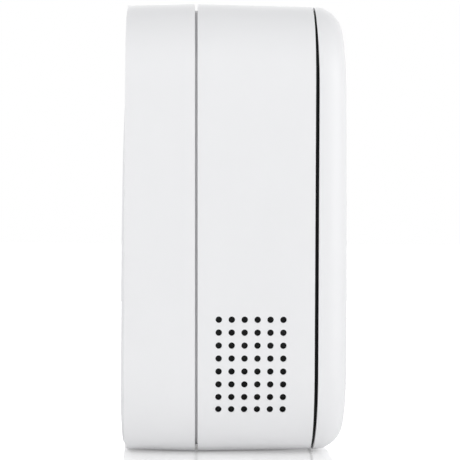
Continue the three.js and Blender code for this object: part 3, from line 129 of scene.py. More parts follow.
def cover_y(x, z, inset=0.0, raised=1.0):
    """Depth of the cover's surface at a place on the front, sunk by an inset."""
    lean = 1 - COVER_LEAN * (z - MIDDLE_Z) / (BODY_HEIGHT / 2)
    return COVER_BACK - SEAT - (dome_depth(x, z) - inset) * raised * lean


# ------------------------------------------------------------------ mesh building

SHARP = math.radians(38)  # edges steeper than this are shaded sharp
FACES_BACK = 0.99999  # depth part of a normal from which a carved face is shaded flat
CLEAN = 1e-7
MERGE = 0.002 * MM  # of points that the cuts leave beside each other


def make_object(name, mesh):
    """Links a mesh to the scene as a smooth-shaded object."""
    mesh.polygons.foreach_set("use_smooth", [True] * len(mesh.polygons))
    mesh.set_sharp_from_angle(angle=SHARP)
    piece = bpy.data.objects.new(name, mesh)
    bpy.context.scene.collection.objects.link(piece)
    return piece


def stack(name, rings, wrap=False):
    """A closed mesh through rings of equal length; wrap joins the last to the first."""
    count = len(rings[0])
    build = bmesh.new()
    loops = [[build.verts.new(p) for p in ring] for ring in rings]
    pairs = list(zip(loops, loops[1:]))
    if wrap:
        pairs.append((loops[-1], loops[0]))
    for low, high in pairs:
        for k in range(count):
            n = (k + 1) % count
            build.faces.new((low[k], low[n], high[n], high[k]))
    if not wrap:
        for loop in (loops[0], loops[-1]):
            if len({v.co.y for v in loop}) == 1:
                build.faces.new(loop)
                continue
            centre = build.verts.new(sum((v.co for v in loop), Vector()) / count)
            for k in range(count):
                build.faces.new((loop[k], loop[(k + 1) % count], centre))
    bmesh.ops.remove_doubles(build, verts=build.verts, dist=CLEAN)
    bmesh.ops.recalc_face_normals(build, faces=build.faces)
    mesh = bpy.data.meshes.new(name)
    build.to_mesh(mesh)
    build.free()
    return make_object(name, mesh)


def body_ring(inset, y, lean=0.0):
    """A ring round the body at a depth, which may lean back towards its top."""
    points = outline(inset + draft_inset(y))
    return [(x, y + (z - MIDDLE_Z) * lean, max(z, 0.0)) for x, z in points]


def circle(radius, steps=96):
    """A ring of (x, z) points round the origin."""
    turn = 2 * math.pi / steps
    return [(radius * math.cos(i * turn), radius * math.sin(i * turn)) for i in range(steps)]


def pill(half_length, half_height, grow=0.0, steps=24):
    """A long round-ended ring of (x, z) points round the origin."""
    radius = half_height + grow
    straight = half_length - half_height
    points = []
    for side in (1, -1):
        for i in range(steps + 1):
            angle = -math.pi / 2 + math.pi * i / steps
            x = straight + radius * math.cos(angle)
            points.append((side * x, side * radius * math.sin(angle)))
    return points


def on_dome(ring, centre_z, depth):
    """A ring laid on the cover's dome, sunk by a depth."""
    return [(x, cover_y(x, z + centre_z) + depth, z + centre_z) for x, z in ring]


def under_cover(ring, centre_z):
    """A ring laid against the inside of the cover."""
    return [(x, cover_y(x, z + centre_z, WALL + SEAT), z + centre_z) for x, z in ring]


def at_depth(ring, centre_z, y):
    """A ring in a plane across the depth."""
    return [(x, y, z + centre_z) for x, z in ring]


def rounded(radius, steps=4):
    """(outward, along) offsets of a quarter round edge, from the side to the face."""
    quarter = [math.pi / 2 * i / steps for i in range(steps + 1)]
    return [(radius * (1 - math.cos(a)), radius * (1 - math.sin(a))) for a in quarter]


def carve(piece, cutters, operation="DIFFERENCE"):
    """Cuts the cutters out of a piece, or joins them to it, and removes them."""
    for cutter in cutters:
        change = piece.modifiers.new("cut", "BOOLEAN")
        change.operation = operation
        change.solver = "EXACT"
        change.object = cutter
    bpy.context.view_layer.update()
    graph = bpy.context.evaluated_depsgraph_get()
    mesh = bpy.data.meshes.new_from_object(piece.evaluated_get(graph))
    build = bmesh.new()
    build.from_mesh(mesh)
    bmesh.ops.remove_doubles(build, verts=build.verts, dist=MERGE)
    build.to_mesh(mesh)
    build.free()
    piece.modifiers.clear()
    piece.data = mesh
    mesh.polygons.foreach_set("use_smooth", [face.normal.y < FACES_BACK for face in mesh.polygons])
    mesh.set_sharp_from_angle(angle=SHARP)
    for cutter in cutters:
        bpy.data.objects.remove(cutter)


def joined(pieces):
    """One object from several that don't touch, for use as one cutter."""
    build = bmesh.new()
    for piece in pieces:
        build.from_mesh(piece.data)
        bpy.data.objects.remove(piece)
    mesh = bpy.data.meshes.new("joined")
    build.to_mesh(mesh)
    build.free()
    return make_object("joined", mesh)


def ringed(points, y):
    """A ring of (x, z) points put at a depth."""
    return [(x, y, z) for x, z in points]


def slab(ring, y0, y1):
    """A plate from a ring of (x, z) points between two depths."""
    return stack("slab", [ringed(ring, y0), ringed(ring, y1)])


def rectangle(x0, x1, z0, z1, radius, steps=8):
    """A rectangle with round corners as (x, z) points."""
    points = []
    corners = ((x1, z1, 0), (x0, z1, 1), (x0, z0, 2), (x1, z0, 3))
    for x, z, quarter in corners:
        sx = 1 if x == x1 else -1
        sz = 1 if z == z1 else -1
        for i in range(steps + 1):
            angle = math.pi / 2 * (quarter + i / steps)
            cx = x - sx * radius
            cz = z - sz * radius
            points.append((cx + radius * math.cos(angle), cz + radius * math.sin(angle)))
    return points


# ------------------------------------------------------------------ materials

def shader(name):
    """A new material with its nodes, ready to be wired."""
    material = bpy.data.materials.new(name)
    material.use_nodes = True
    nodes = material.node_tree.nodes
    return material, nodes, material.node_tree.links, nodes["Principled BSDF"]


def grain(nodes, links, bsdf, scale, height, roughness, spread):
    """Fine moulded grain: a bump, and a roughness that wanders a little."""
    place = nodes.new("ShaderNodeTexCoord")
    fine = nodes.new("ShaderNodeTexNoise")
    fine.inputs["Scale"].default_value = scale
    fine.inputs["Detail"].default_value = 3
    bump = nodes.new("ShaderNodeBump")
    bump.inputs["Strength"].default_value = 0.5
    bump.inputs["Distance"].default_value = height
    broad = nodes.new("ShaderNodeTexNoise")
    broad.inputs["Scale"].default_value = scale / 60
    wander = nodes.new("ShaderNodeMapRange")
    wander.inputs["To Min"].default_value = roughness - spread
    wander.inputs["To Max"].default_value = roughness + spread
    links.new(place.outputs["Object"], fine.inputs["Vector"])
    links.new(place.outputs["Object"], broad.inputs["Vector"])
    links.new(fine.outputs["Fac"], bump.inputs["Height"])
    links.new(bump.outputs["Normal"], bsdf.inputs["Normal"])
    links.new(broad.outputs["Fac"], wander.inputs["Value"])
    links.new(wander.outputs["Result"], bsdf.inputs["Roughness"])
    return broad.outputs["Fac"]


def tinted(nodes, links, bsdf, source, color, change):
    """A base colour that drifts slightly over the surface."""
    ramp = nodes.new("ShaderNodeMix")
    ramp.data_type = "RGBA"
    ramp.inputs["A"].default_value = (*[c * (1 - change) for c in color], 1)
    ramp.inputs["B"].default_value = (*[min(1, c * (1 + change)) for c in color], 1)
    links.new(source, ramp.inputs["Factor"])
    links.new(ramp.outputs["Result"], bsdf.inputs["Base Color"])


def moulded(
        name, color, roughness=0.45, scale=5200, height=0.012 * MM, change=0.01, specular=0.5):
    """Moulded plastic with a fine spark-eroded texture."""
    material, nodes, links, bsdf = shader(name)
    broad = grain(nodes, links, bsdf, scale, height, roughness, 0.04)
    tinted(nodes, links, bsdf, broad, color, change)
    bsdf.inputs["Specular IOR Level"].default_value = specular
    return material


def metal(name, color, roughness=0.3, stretch=(1, 1, 12)):
    """Plated or brushed metal with fine lines along one way."""
    material, nodes, links, bsdf = shader(name)
    place = nodes.new("ShaderNodeTexCoord")
    scaled = nodes.new("ShaderNodeMapping")
    scaled.inputs["Scale"].default_value = stretch
    lines = nodes.new("ShaderNodeTexNoise")
    lines.inputs["Scale"].default_value = 900
    bump = nodes.new("ShaderNodeBump")
    bump.inputs["Strength"].default_value = 0.25
    bump.inputs["Distance"].default_value = 0.01 * MM
    wander = nodes.new("ShaderNodeMapRange")
    wander.inputs["To Min"].default_value = roughness - 0.06
    wander.inputs["To Max"].default_value = roughness + 0.08
    links.new(place.outputs["Object"], scaled.inputs["Vector"])
    links.new(scaled.outputs["Vector"], lines.inputs["Vector"])
    links.new(lines.outputs["Fac"], bump.inputs["Height"])
    links.new(bump.outputs["Normal"], bsdf.inputs["Normal"])
    links.new(lines.outputs["Fac"], wander.inputs["Value"])
    links.new(wander.outputs["Result"], bsdf.inputs["Roughness"])
    tinted(nodes, links, bsdf, lines.outputs["Fac"], color, 0.05)
    bsdf.inputs["Metallic"].default_value = 1.0
    return material


def circuit(name, color):
    """A circuit board: solder mask with faint traces and gold dots under it."""
    material, nodes, links, bsdf = shader(name)
    place = nodes.new("ShaderNodeTexCoord")
    traces = nodes.new("ShaderNodeTexBrick")
    traces.inputs["Scale"].default_value = 420
    traces.inputs["Mortar Size"].default_value = 0.06
    traces.inputs["Color1"].default_value = (*color, 1)
    traces.inputs["Color2"].default_value = (*[c * 0.8 for c in color], 1)
    traces.inputs["Mortar"].default_value = (*[min(1, c * 1.8 + 0.01) for c in color], 1)
    turned = nodes.new("ShaderNodeMapping")
    turned.inputs["Rotation"].default_value = (math.pi / 2, 0, 0)
    dots = nodes.new("ShaderNodeTexVoronoi")
    dots.inputs["Scale"].default_value = 520
    edge = nodes.new("ShaderNodeMath")
    edge.operation = "LESS_THAN"
    edge.inputs[1].default_value = 0.16
    both = nodes.new("ShaderNodeMix")
    both.data_type = "RGBA"
    both.inputs["B"].default_value = (0.55, 0.42, 0.16, 1)
    bump = nodes.new("ShaderNodeBump")
    bump.inputs["Strength"].default_value = 0.3
    bump.inputs["Distance"].default_value = 0.03 * MM
    links.new(place.outputs["Object"], turned.inputs["Vector"])
    links.new(turned.outputs["Vector"], traces.inputs["Vector"])
    links.new(turned.outputs["Vector"], dots.inputs["Vector"])
    links.new(dots.outputs["Distance"], edge.inputs[0])
    links.new(edge.outputs["Value"], both.inputs["Factor"])
    links.new(traces.outputs["Color"], both.inputs["A"])
    links.new(both.outputs["Result"], bsdf.inputs["Base Color"])
    links.new(traces.outputs["Fac"], bump.inputs["Height"])
    links.new(bump.outputs["Normal"], bsdf.inputs["Normal"])
    bsdf.inputs["Roughness"].default_value = 0.35
    return material


def glass(name, color, roughness=0.03, alpha=1.0, coat=1.0):
    """Tinted glass with faint smears; below an alpha of 1 it shows what is behind it."""
    material, nodes, links, bsdf = shader(name)
    broad = grain(nodes, links, bsdf, 300, 0.001 * MM, roughness, roughness * 0.5)
    tinted(nodes, links, bsdf, broad, color, 0.15)
    bsdf.inputs["Coat Weight"].default_value = coat
    bsdf.inputs["Coat Roughness"].default_value = 0.01
    bsdf.inputs["IOR"].default_value = 1.52
    bsdf.inputs["Alpha"].default_value = alpha
    return material


def weave(name, color):
    """A woven acoustic mesh or pressed fibre."""
    material, nodes, links, bsdf = shader(name)
    place = nodes.new("ShaderNodeTexCoord")
    threads = nodes.new("ShaderNodeTexVoronoi")
    threads.inputs["Scale"].default_value = 2600
    bump = nodes.new("ShaderNodeBump")
    bump.inputs["Strength"].default_value = 0.8
    bump.inputs["Distance"].default_value = 0.08 * MM
    links.new(place.outputs["Object"], threads.inputs["Vector"])
    links.new(threads.outputs["Distance"], bump.inputs["Height"])
    links.new(bump.outputs["Normal"], bsdf.inputs["Normal"])
    tinted(nodes, links, bsdf, threads.outputs["Distance"], color, 0.5)
    bsdf.inputs["Roughness"].default_value = 0.9
    return material


WHITE = (0.87, 0.87, 0.88)
light_guide = moulded("light_guide", (0.86, 0.86, 0.85), 0.25, 2000, 0.004 * MM)
lens_white = moulded("lens_white", (0.84, 0.84, 0.83), 0.3, 2000, 0.004 * MM)

for translucent in (light_guide, lens_white):
    bsdf = translucent.node_tree.nodes["Principled BSDF"]
    bsdf.inputs["Subsurface Weight"].default_value = 0.3
    bsdf.inputs["Subsurface Radius"].default_value = (1.0, 1.0, 1.0)
    bsdf.inputs["Subsurface Scale"].default_value = 1.0 * MM

finishes = {
    "white_shell": moulded("white_shell", WHITE, roughness=0.42),
    "white_button": moulded("white_button", WHITE, roughness=0.36),
    "plate_white": moulded("plate_white", (0.85, 0.85, 0.86), roughness=0.48),
    "black_plastic": moulded(
        "black_plastic", (0.006, 0.006, 0.007), 0.5, change=0.15, specular=0.12),
    "black_rubber": moulded("black_rubber", (0.03, 0.03, 0.03), 0.75, 3000, 0.02 * MM, 0.15),
    "black_gloss": moulded("black_gloss", (0.01, 0.01, 0.012), 0.12, 900, 0.002 * MM, 0.1),
    "dark_glass": glass("dark_glass", (0.006, 0.007, 0.009), alpha=0.25, coat=0.0),
    "lens_glass": glass("lens_glass", (0.03, 0.02, 0.06)),
    "filter_glass": glass("filter_glass", (0.10, 0.22, 0.22)),
    "black_board": circuit("black_board", (0.012, 0.013, 0.014)),
    "green_board": circuit("green_board", (0.02, 0.11, 0.05)),
    "chip": moulded("chip", (0.02, 0.02, 0.022), 0.35, 1500, 0.004 * MM, 0.1),
    "lens_white": lens_white,
    "light_guide": light_guide,
    "tinned_steel": metal("tinned_steel", (0.62, 0.63, 0.64)),
    "screw_steel": metal("screw_steel", (0.5, 0.51, 0.53), 0.35, (1, 12, 1)),
    "magnet_steel": metal("magnet_steel", (0.45, 0.45, 0.47), 0.4, (12, 1, 1)),
    "brass": metal("brass", (0.75, 0.6, 0.3), 0.3),
    "switch_stem": moulded("switch_stem", (0.7, 0.7, 0.66), 0.5),
    "black_mesh": weave("black_mesh", (0.012, 0.012, 0.012)),
    "black_foam": weave("black_foam", (0.03, 0.03, 0.032)),
    "speaker_paper": weave("speaker_paper", (0.035, 0.035, 0.034)),
    "cable_black": moulded("cable_black", (0.02, 0.02, 0.022), 0.55, 1500, 0.01 * MM, 0.2),
    "cell_wrap": moulded("cell_wrap", (0.04, 0.14, 0.42), 0.22, 700, 0.01 * MM, 0.1),
    "reset_orange": moulded("reset_orange", (0.78, 0.25, 0.04), 0.45),
}

for entry in frame["record"]["subparts"]:
    node = frame["nodes"][entry["node"]]
    node.data.materials.clear()
    node.data.materials.append(finishes[entry["material_slot"]])


def dress(piece, node, body, slot):
    """Gives a piece its finish and body, in place of a CAD node."""
    piece.data.materials.clear()
    piece.data.materials.append(finishes[slot])
    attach(piece, body)
    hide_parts(node)


# ------------------------------------------------------------------ main housing

GRILLE_COLUMNS = 6
GRILLE_ROWS = 8
GRILLE_PITCH = 3.4 * MM
GRILLE_RADIUS = 0.85 * MM
GRILLE_FORWARD = 14.55 * MM
GRILLE_TOP = 36.85 * MM
GRILLE_WALL = 1.2 * MM
RECESS_STEPS = 16
MOUTH = 0.06 * MM  # bevel round each hole


def side_wall(y, z):
    """Where the side wall's outer face lies at a depth and height, and how it leans."""
    reach = CORNER_REACH - draft_inset(y)
    rise = max(0.0, abs(z - MIDDLE_Z) - CORNER_Z) / reach
    run = (1 - rise ** CORNER_POWER) ** (1 / CORNER_POWER)
    lean = math.atan2(rise ** (CORNER_POWER - 1), run ** (CORNER_POWER - 1))
    return CORNER_X + reach * run, lean


def grille_cutters():
    """One cutter for every hole of the grille, flared a little at the mouth."""
    cutters = []
    middle_y = (MAIN_BACK + REAR_FRONT) / 2 - GRILLE_FORWARD
    z = GRILLE_TOP
    for row in range(GRILLE_ROWS):
        _, lean = side_wall(middle_y, z)
        for column in range(GRILLE_COLUMNS):
            y = middle_y + (column - (GRILLE_COLUMNS - 1) / 2) * GRILLE_PITCH
            x, _ = side_wall(y, z)
            rings = []
            for grow, out, slope in (
                    (0.0, -2 * WALL, 0.0), (0.0, -MOUTH, math.tan(lean)),
                    (2 * MOUTH, MOUTH, math.tan(lean)), (2 * MOUTH, WALL, 0.0)):
                ring = circle(GRILLE_RADIUS + grow, 32)
                rings.append([(-x - out - b * slope, y + a, z + b) for a, b in ring])
            cutters.append(stack("hole", rings))
        z -= GRILLE_PITCH * math.cos(lean)
    return joined(cutters)


def grille_recess():
    """A cutter that thins the wall round the grille from the inside."""
    low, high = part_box("speaker_mesh")
    near, far = low.y - FIT, high.y + FIT
    rings = []
    for i in range(RECESS_STEPS + 1):
        z = low.z - FIT + (high.z - low.z + 2 * FIT) * i / RECESS_STEPS
        ring = []
        corners = ((near, GRILLE_WALL), (far, GRILLE_WALL), (far, 2 * WALL), (near, 2 * WALL))
        for y, inset in corners:
            x, _ = side_wall(y, z)
            ring.append((-x + inset, y, z))
        rings.append(ring)
    return stack("recess", rings)


front_edge = rounded(SEAM_EDGE)
back_edge = rounded(SHELL_EDGE)
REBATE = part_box("housing_seal")[0].y - SEAT
SHELL_STEPS = 12
main_rings = [body_ring(out, MAIN_FRONT + along) for out, along in reversed(front_edge)]
main_rings += [body_ring(0.0, MAIN_FRONT + (MAIN_BACK - MAIN_FRONT) * i / SHELL_STEPS)
               for i in range(1, SHELL_STEPS)]
main_rings += [body_ring(out, MAIN_BACK - along, GROOVE_LEAN) for out, along in back_edge]
main_rings += [body_ring(GROOVE_DEPTH - FIT, MAIN_BACK, GROOVE_LEAN),
               body_ring(GROOVE_DEPTH - FIT, REBATE),
               body_ring(WALL, REBATE), body_ring(WALL, MAIN_FRONT)]
main_shell = stack("main_shell", main_rings, wrap=True)
carve(main_shell, [grille_recess(), grille_cutters()])
dress(main_shell, "main_housing", "housing", "white_shell")

# ------------------------------------------------------------------ rear housing

POCKET = (-18 * MM, 18 * MM, 15.5 * MM, 43 * MM)
POCKET_FLOOR = REAR_BACK - 4.65 * MM
POCKET_WALL = 1.8 * MM
POCKET_INSIDE = POCKET_FLOOR - POCKET_WALL
RAIL_X = 23 * MM
RAIL_NECK = 1.55 * MM  # half a keyhole's slot
RAIL_HEAD = 2.95 * MM  # half its window
RAIL_LIP = 1.35 * MM
KEYHOLE_DEPTH = 3.2 * MM
KEYHOLE_WALL = 1.2 * MM
MOUTH_DEPTH = 1.5 * MM  # of a keyhole's window and of the channel over the wall screws' heads
RAIL_LENGTH = 9 * MM
RAIL_TRAVEL = 10 * MM
RAIL_BOTTOMS = (27 * MM, 64.75 * MM)
KEYHOLES = [(side * RAIL_X, bottom - RAIL_TRAVEL - FIT, bottom + RAIL_LENGTH + FIT)
            for side in (-1, 1) for bottom in RAIL_BOTTOMS]
SCREW_SEAT = REAR_FRONT + 1.5 * MM
REAR_INSIDE = REAR_BACK - WALL
REAR_EDGE = 0.15 * MM
LIP_END = MAIN_BACK - 3.4 * MM
SCREW_RADIUS = 2.5 * MM  # of the hole for a housing screw's head
TUBE_RADIUS = 3.63 * MM
TERMINAL_HOLE = 1.75 * MM
RESET_HOLE = 2.55 * MM
CHANNEL_HALF = 5 * MM
CHANNEL_TOP = 97.2 * MM
screw_points = [middle(f"housing_screw_{row}_{side}")
                for row in ("upper", "lower") for side in ("left", "right")]


def grown(bounds, grow, corner):
    """A round-cornered rectangle from (x0, x1, z0, z1), grown all round."""
    x0, x1, z0, z1 = bounds
    return rectangle(x0 - grow, x1 + grow, z0 - grow, z1 + grow, corner)


def round_at(point, radius, steps=48):
    """A circle of (x, z) points round a point of the frame."""
    return [(x + point.x, z + point.z) for x, z in circle(radius, steps)]


def sunk(ring_of, floor_y, soft=0.3 * MM):
    """A cutter into the flat back, its mouth softened."""
    return stack("cutter", [
        ringed(ring_of(0.0), floor_y),
        ringed(ring_of(0.0), REAR_BACK - soft),
        ringed(ring_of(soft), REAR_BACK),
        ringed(ring_of(soft), REAR_BACK + MM),
    ])


def rear():
    """The rear housing as an open shell, from its inside over the lip to its back."""
    lip_inside = GROOVE_DEPTH + LIP_THICKNESS
    rings = [body_ring(WALL, REAR_INSIDE), body_ring(WALL, REAR_FRONT + MM),
             body_ring(lip_inside, REAR_FRONT + MM), body_ring(lip_inside, LIP_END),
             body_ring(GROOVE_DEPTH, LIP_END), body_ring(GROOVE_DEPTH, REAR_FRONT, GROOVE_LEAN)]
    rings += [body_ring(out, REAR_FRONT + along, GROOVE_LEAN)
              for out, along in reversed(rounded(SHELL_EDGE))]
    rings += [body_ring(out, REAR_BACK - along) for out, along in rounded(REAR_EDGE, 5)]
    rings.append(body_ring(REAR_EDGE + 0.4 * MM, REAR_BACK))
    return stack("rear_shell", rings)


def rear_inside():
    """The pocket's box, the walls of the keyholes and the screw tubes."""
    solids = [slab(grown(POCKET, POCKET_WALL, 1 * MM), POCKET_INSIDE, REAR_INSIDE + MM)]
    for x, low, high in KEYHOLES:
        walls = grown((x - RAIL_HEAD, x + RAIL_HEAD, low, high), KEYHOLE_WALL, 0.3 * MM)
        front = REAR_BACK - KEYHOLE_DEPTH - KEYHOLE_WALL
        solids.append(slab(walls, front, REAR_INSIDE + MM))
    for point in screw_points:
        tube = round_at(point, TUBE_RADIUS, 40)
        solids.append(slab(tube, REAR_FRONT + 0.3 * MM, REAR_INSIDE + MM))
    return solids


def screw_hole(point):
    """The ring of a screw's hole as a function of how far it is grown."""
    return lambda grow: round_at(point, SCREW_RADIUS + grow)


def rear_cuts():
    """Everything cut into the back: pocket, keyholes, screw holes and floor openings."""
    cutters = [sunk(lambda grow: grown(POCKET, grow, 1.5 * MM), POCKET_FLOOR)]
    channel = (-CHANNEL_HALF, CHANNEL_HALF, POCKET[3] - MM, CHANNEL_TOP)
    cutters.append(sunk(lambda grow: grown(channel, grow, 0.6 * MM), REAR_BACK - MOUTH_DEPTH))
    for x, low, high in KEYHOLES:
        head = (x - RAIL_HEAD, x + RAIL_HEAD, low, high)
        window = (x - RAIL_HEAD, x + RAIL_HEAD, low, high - RAIL_TRAVEL)
        neck = (x - RAIL_NECK, x + RAIL_NECK, low + MM, high)
        cutters.append(slab(
            grown(head, 0, 0.2 * MM), REAR_BACK - KEYHOLE_DEPTH, REAR_BACK - RAIL_LIP))
        cutters.append(sunk(
            lambda grow: grown(window, grow, 0.2 * MM), REAR_BACK - MOUTH_DEPTH, 0.15 * MM))
        cutters.append(sunk(
            lambda grow: grown(neck, grow, 0.2 * MM),
            REAR_BACK - MOUTH_DEPTH + 0.05 * MM, 0.1 * MM))
    cutters += [sunk(screw_hole(point), SCREW_SEAT) for point in screw_points]
    through = (POCKET_INSIDE - MM, POCKET_FLOOR + MM)
    for node, radius in (("terminal_screw_left", TERMINAL_HOLE),
                         ("terminal_screw_right", TERMINAL_HOLE),
                         ("reset_button", RESET_HOLE)):
        cutters.append(slab(round_at(middle(node), radius), *through))
    low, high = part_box("usb_port")
    cutters.append(slab(grown((low.x, high.x, low.z, high.z), FIT, 0.8 * MM), *through))
    return cutters


rear_shell = rear()
carve(rear_shell, rear_inside(), "UNION")
carve(rear_shell, rear_cuts())
dress(rear_shell, "rear_housing", "housing", "white_shell")

# ------------------------------------------------------------------ front cover

CAMERA_Z = middle("camera_bezel").z
PIR_Z = middle("pir_lens").z
BUTTON_Z = middle("button_cap").z
MIC_Z = middle("microphone").z
DOME_SHARES = (0.03, 0.15, 0.3, 0.45, 0.6, 0.75, 0.88)  # rings between middle and fillet
FILLET_STEPS = 12
RIM_FORWARD = 0.2 * MM  # how far the bowed rim opens the seam half way up
TOP_CLOSES = 0.45 * MM  # how far it closes it again towards the top
FOOT_CLOSES = 0.3 * MM
TOP_START, TOP_RUN = 0.55, 0.35  # where that starts, in half heights from the middle
FOOT_START, FOOT_RUN = 0.7, 0.27
MIC_RADIUS = 0.7 * MM
CUT_GAP = FIT * 0.6  # round what stands in the cover's openings


def cover_rings(inset):
    """Rings of the cover's surface from the middle of the dome out to the rim."""
    rings = []
    dome_edge = outline(FRONT_INSET + COVER_FILLET)
    for share in DOME_SHARES:
        ring = [(x * share, MIDDLE_Z + (z - MIDDLE_Z) * share) for x, z in dome_edge]
        rings.append([(x, cover_y(x, z, inset), z) for x, z in ring])
    for i in range(FILLET_STEPS + 1):
        angle = math.pi / 2 * (1 - i / FILLET_STEPS)
        across = inset + (COVER_FILLET - inset) * (1 - math.cos(angle))
        ring = outline(FRONT_INSET + across)
        rings.append([(x, cover_y(x, z, inset, math.sin(angle)), z) for x, z in ring])
    return rings


def flare(ring_of, centre_z, soft=0.35 * MM):
    """A cutter through the cover whose mouth is flared along the dome."""
    return stack("cutter", [
        on_dome(ring_of(soft * 2.5), centre_z, -1.5 * soft),
        on_dome(ring_of(soft), centre_z, 0.0),
        on_dome(ring_of(soft * 0.3), centre_z, soft * 0.3),
        on_dome(ring_of(0.0), centre_z, soft),
        at_depth(ring_of(0.0), centre_z, COVER_BACK - 1 * MM),
    ])


bezel_low, bezel_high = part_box("camera_bezel")
BEZEL_FLANGE = 1.4 * MM
BEZEL_RADIUS = (bezel_high.x - bezel_low.x) / 2 - BEZEL_FLANGE
BEZEL_WIDTH = 1.8 * MM
CAP_RADIUS = 13.2 * MM
RING_GAP = 0.4 * MM
RING_WIDTH = 2.8 * MM
PIR_HALF = (11 * MM, 5.5 * MM)


def rim_ring(inset, forward, most=MM):
    """A ring of the cover's rim, which is bowed: the seam is widest half way up."""
    ring = []
    for x, z in outline(FRONT_INSET + inset):
        height = (z - MIDDLE_Z) / (BODY_HEIGHT / 2)
        top = max(0.0, min(1.0, (height - TOP_START) / TOP_RUN))
        foot = max(0.0, min(1.0, (-height - FOOT_START) / FOOT_RUN))
        bow = TOP_CLOSES * top ** 2 + FOOT_CLOSES * foot ** 2 - RIM_FORWARD
        ring.append((x, COVER_BACK - forward + min(bow, most), z))
    return ring


cover_mesh_rings = cover_rings(0.0)[:-1]
cover_mesh_rings += [rim_ring(0.0, SEAT), rim_ring(0.0, SEAM_EDGE), rim_ring(0.1 * MM, 0.0),
                     rim_ring(WALL, 0.0, 0.0), rim_ring(WALL, SEAT, 0.0)]
cover_mesh_rings += cover_rings(WALL)[-2::-1]
cover_shell = stack("cover_shell", cover_mesh_rings)
carve(cover_shell, [
    flare(lambda grow: circle(BEZEL_RADIUS + CUT_GAP + grow), CAMERA_Z),
    flare(lambda grow: circle(CAP_RADIUS + RING_GAP + RING_WIDTH + CUT_GAP + grow), BUTTON_Z),
    flare(lambda grow: pill(*PIR_HALF, CUT_GAP + grow), PIR_Z),
    flare(lambda grow: circle(MIC_RADIUS + grow, 32), MIC_Z, 0.2 * MM),
])
dress(cover_shell, "front_cover", "housing", "white_shell")

# ------------------------------------------------------------------ camera bezel and window

BEZEL_BACK = bezel_high.y
WINDOW_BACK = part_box("camera_window")[1].y
WINDOW_RADIUS = BEZEL_RADIUS - BEZEL_WIDTH
WINDOW_DIP = 0.5 * MM
LEDGE_WIDTH = 1.2 * MM
SOFT = 0.3 * MM


def bezel():
    """A polished ring that follows the dome, with its flange behind the cover."""
    rings = [at_depth(circle(BEZEL_RADIUS + BEZEL_FLANGE), CAMERA_Z, BEZEL_BACK)]
    for reach in (BEZEL_FLANGE, 0.0):
        rings.append(under_cover(circle(BEZEL_RADIUS + reach), CAMERA_Z))
    for out, along in rounded(SOFT):
        rings.append(on_dome(circle(BEZEL_RADIUS - out), CAMERA_Z, SEAT + along))
    for out, along in reversed(rounded(SOFT * 2)):
        rings.append(on_dome(circle(WINDOW_RADIUS + out), CAMERA_Z, SEAT + along))
    rings.append(at_depth(circle(WINDOW_RADIUS), CAMERA_Z, WINDOW_BACK + SEAT))
    rings.append(at_depth(circle(WINDOW_RADIUS - LEDGE_WIDTH), CAMERA_Z, WINDOW_BACK + SEAT))
    rings.append(at_depth(circle(WINDOW_RADIUS - LEDGE_WIDTH), CAMERA_Z, BEZEL_BACK))
    return stack("bezel_ring", rings, wrap=True)


def window():
    """The dark window over the lens, bowed with the dome."""
    rings = [at_depth(circle(WINDOW_RADIUS - SEAT), CAMERA_Z, WINDOW_BACK)]
    for out, along in rounded(0.25 * MM):
        rings.append(on_dome(circle(WINDOW_RADIUS - SEAT - out), CAMERA_Z, WINDOW_DIP + along))
    for share in (0.85, 0.6, 0.35, 0.1):
        rings.append(on_dome(circle(WINDOW_RADIUS * share), CAMERA_Z, WINDOW_DIP))
    return stack("window_glass", rings)


dress(bezel(), "camera_bezel", "housing", "black_gloss")
dress(window(), "camera_window", "housing", "dark_glass")

# ------------------------------------------------------------------ motion sensor lens

PIR_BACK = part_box("pir_lens")[1].y
PIR_SKIN = 1.1 * MM
PIR_FLANGE = 1.2 * MM


def motion_lens():
    """The pill-shaped lens, hollow behind, with a flange behind the cover."""
    grows = (-4.5 * MM, -3 * MM, -1.5 * MM)
    rings = [on_dome(pill(*PIR_HALF, grow), PIR_Z, PIR_SKIN) for grow in grows[:2]]
    rings.append(on_dome(pill(*PIR_HALF, -PIR_SKIN), PIR_Z, PIR_SKIN))
    for grow in (-PIR_SKIN, PIR_FLANGE):
        rings.append(at_depth(pill(*PIR_HALF, grow), PIR_Z, PIR_BACK))
    for grow in (PIR_FLANGE, 0.0):
        rings.append(under_cover(pill(*PIR_HALF, grow), PIR_Z))
    for out, along in rounded(0.5 * MM):
        rings.append(on_dome(pill(*PIR_HALF, -out), PIR_Z, SEAT + along))
    for grow in reversed(grows):
        rings.append(on_dome(pill(*PIR_HALF, grow), PIR_Z, SEAT))
    return stack("motion_lens", rings)


dress(motion_lens(), "pir_lens", "housing", "lens_white")

# ------------------------------------------------------------------ button and light ring

CAP_DIP = 0.35 * MM
PLUNGER = 2.2 * MM
SHELF_Y = COVER_BACK - 6.7 * MM
cap_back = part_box("button_cap")[1].y
CAP_FLANGE = 1.4 * MM
CAP_WALL = 1.6 * MM
CAP_DISH = 0.5 * MM
CAP_INSIDE = SHELF_Y - 0.6 * MM
RING_FLANGE = 1.3 * MM
RING_FLANGE_BACK = COVER_BACK - 4.6 * MM
FLANGE_BACK = SHELF_Y + SEAT + 1 * MM


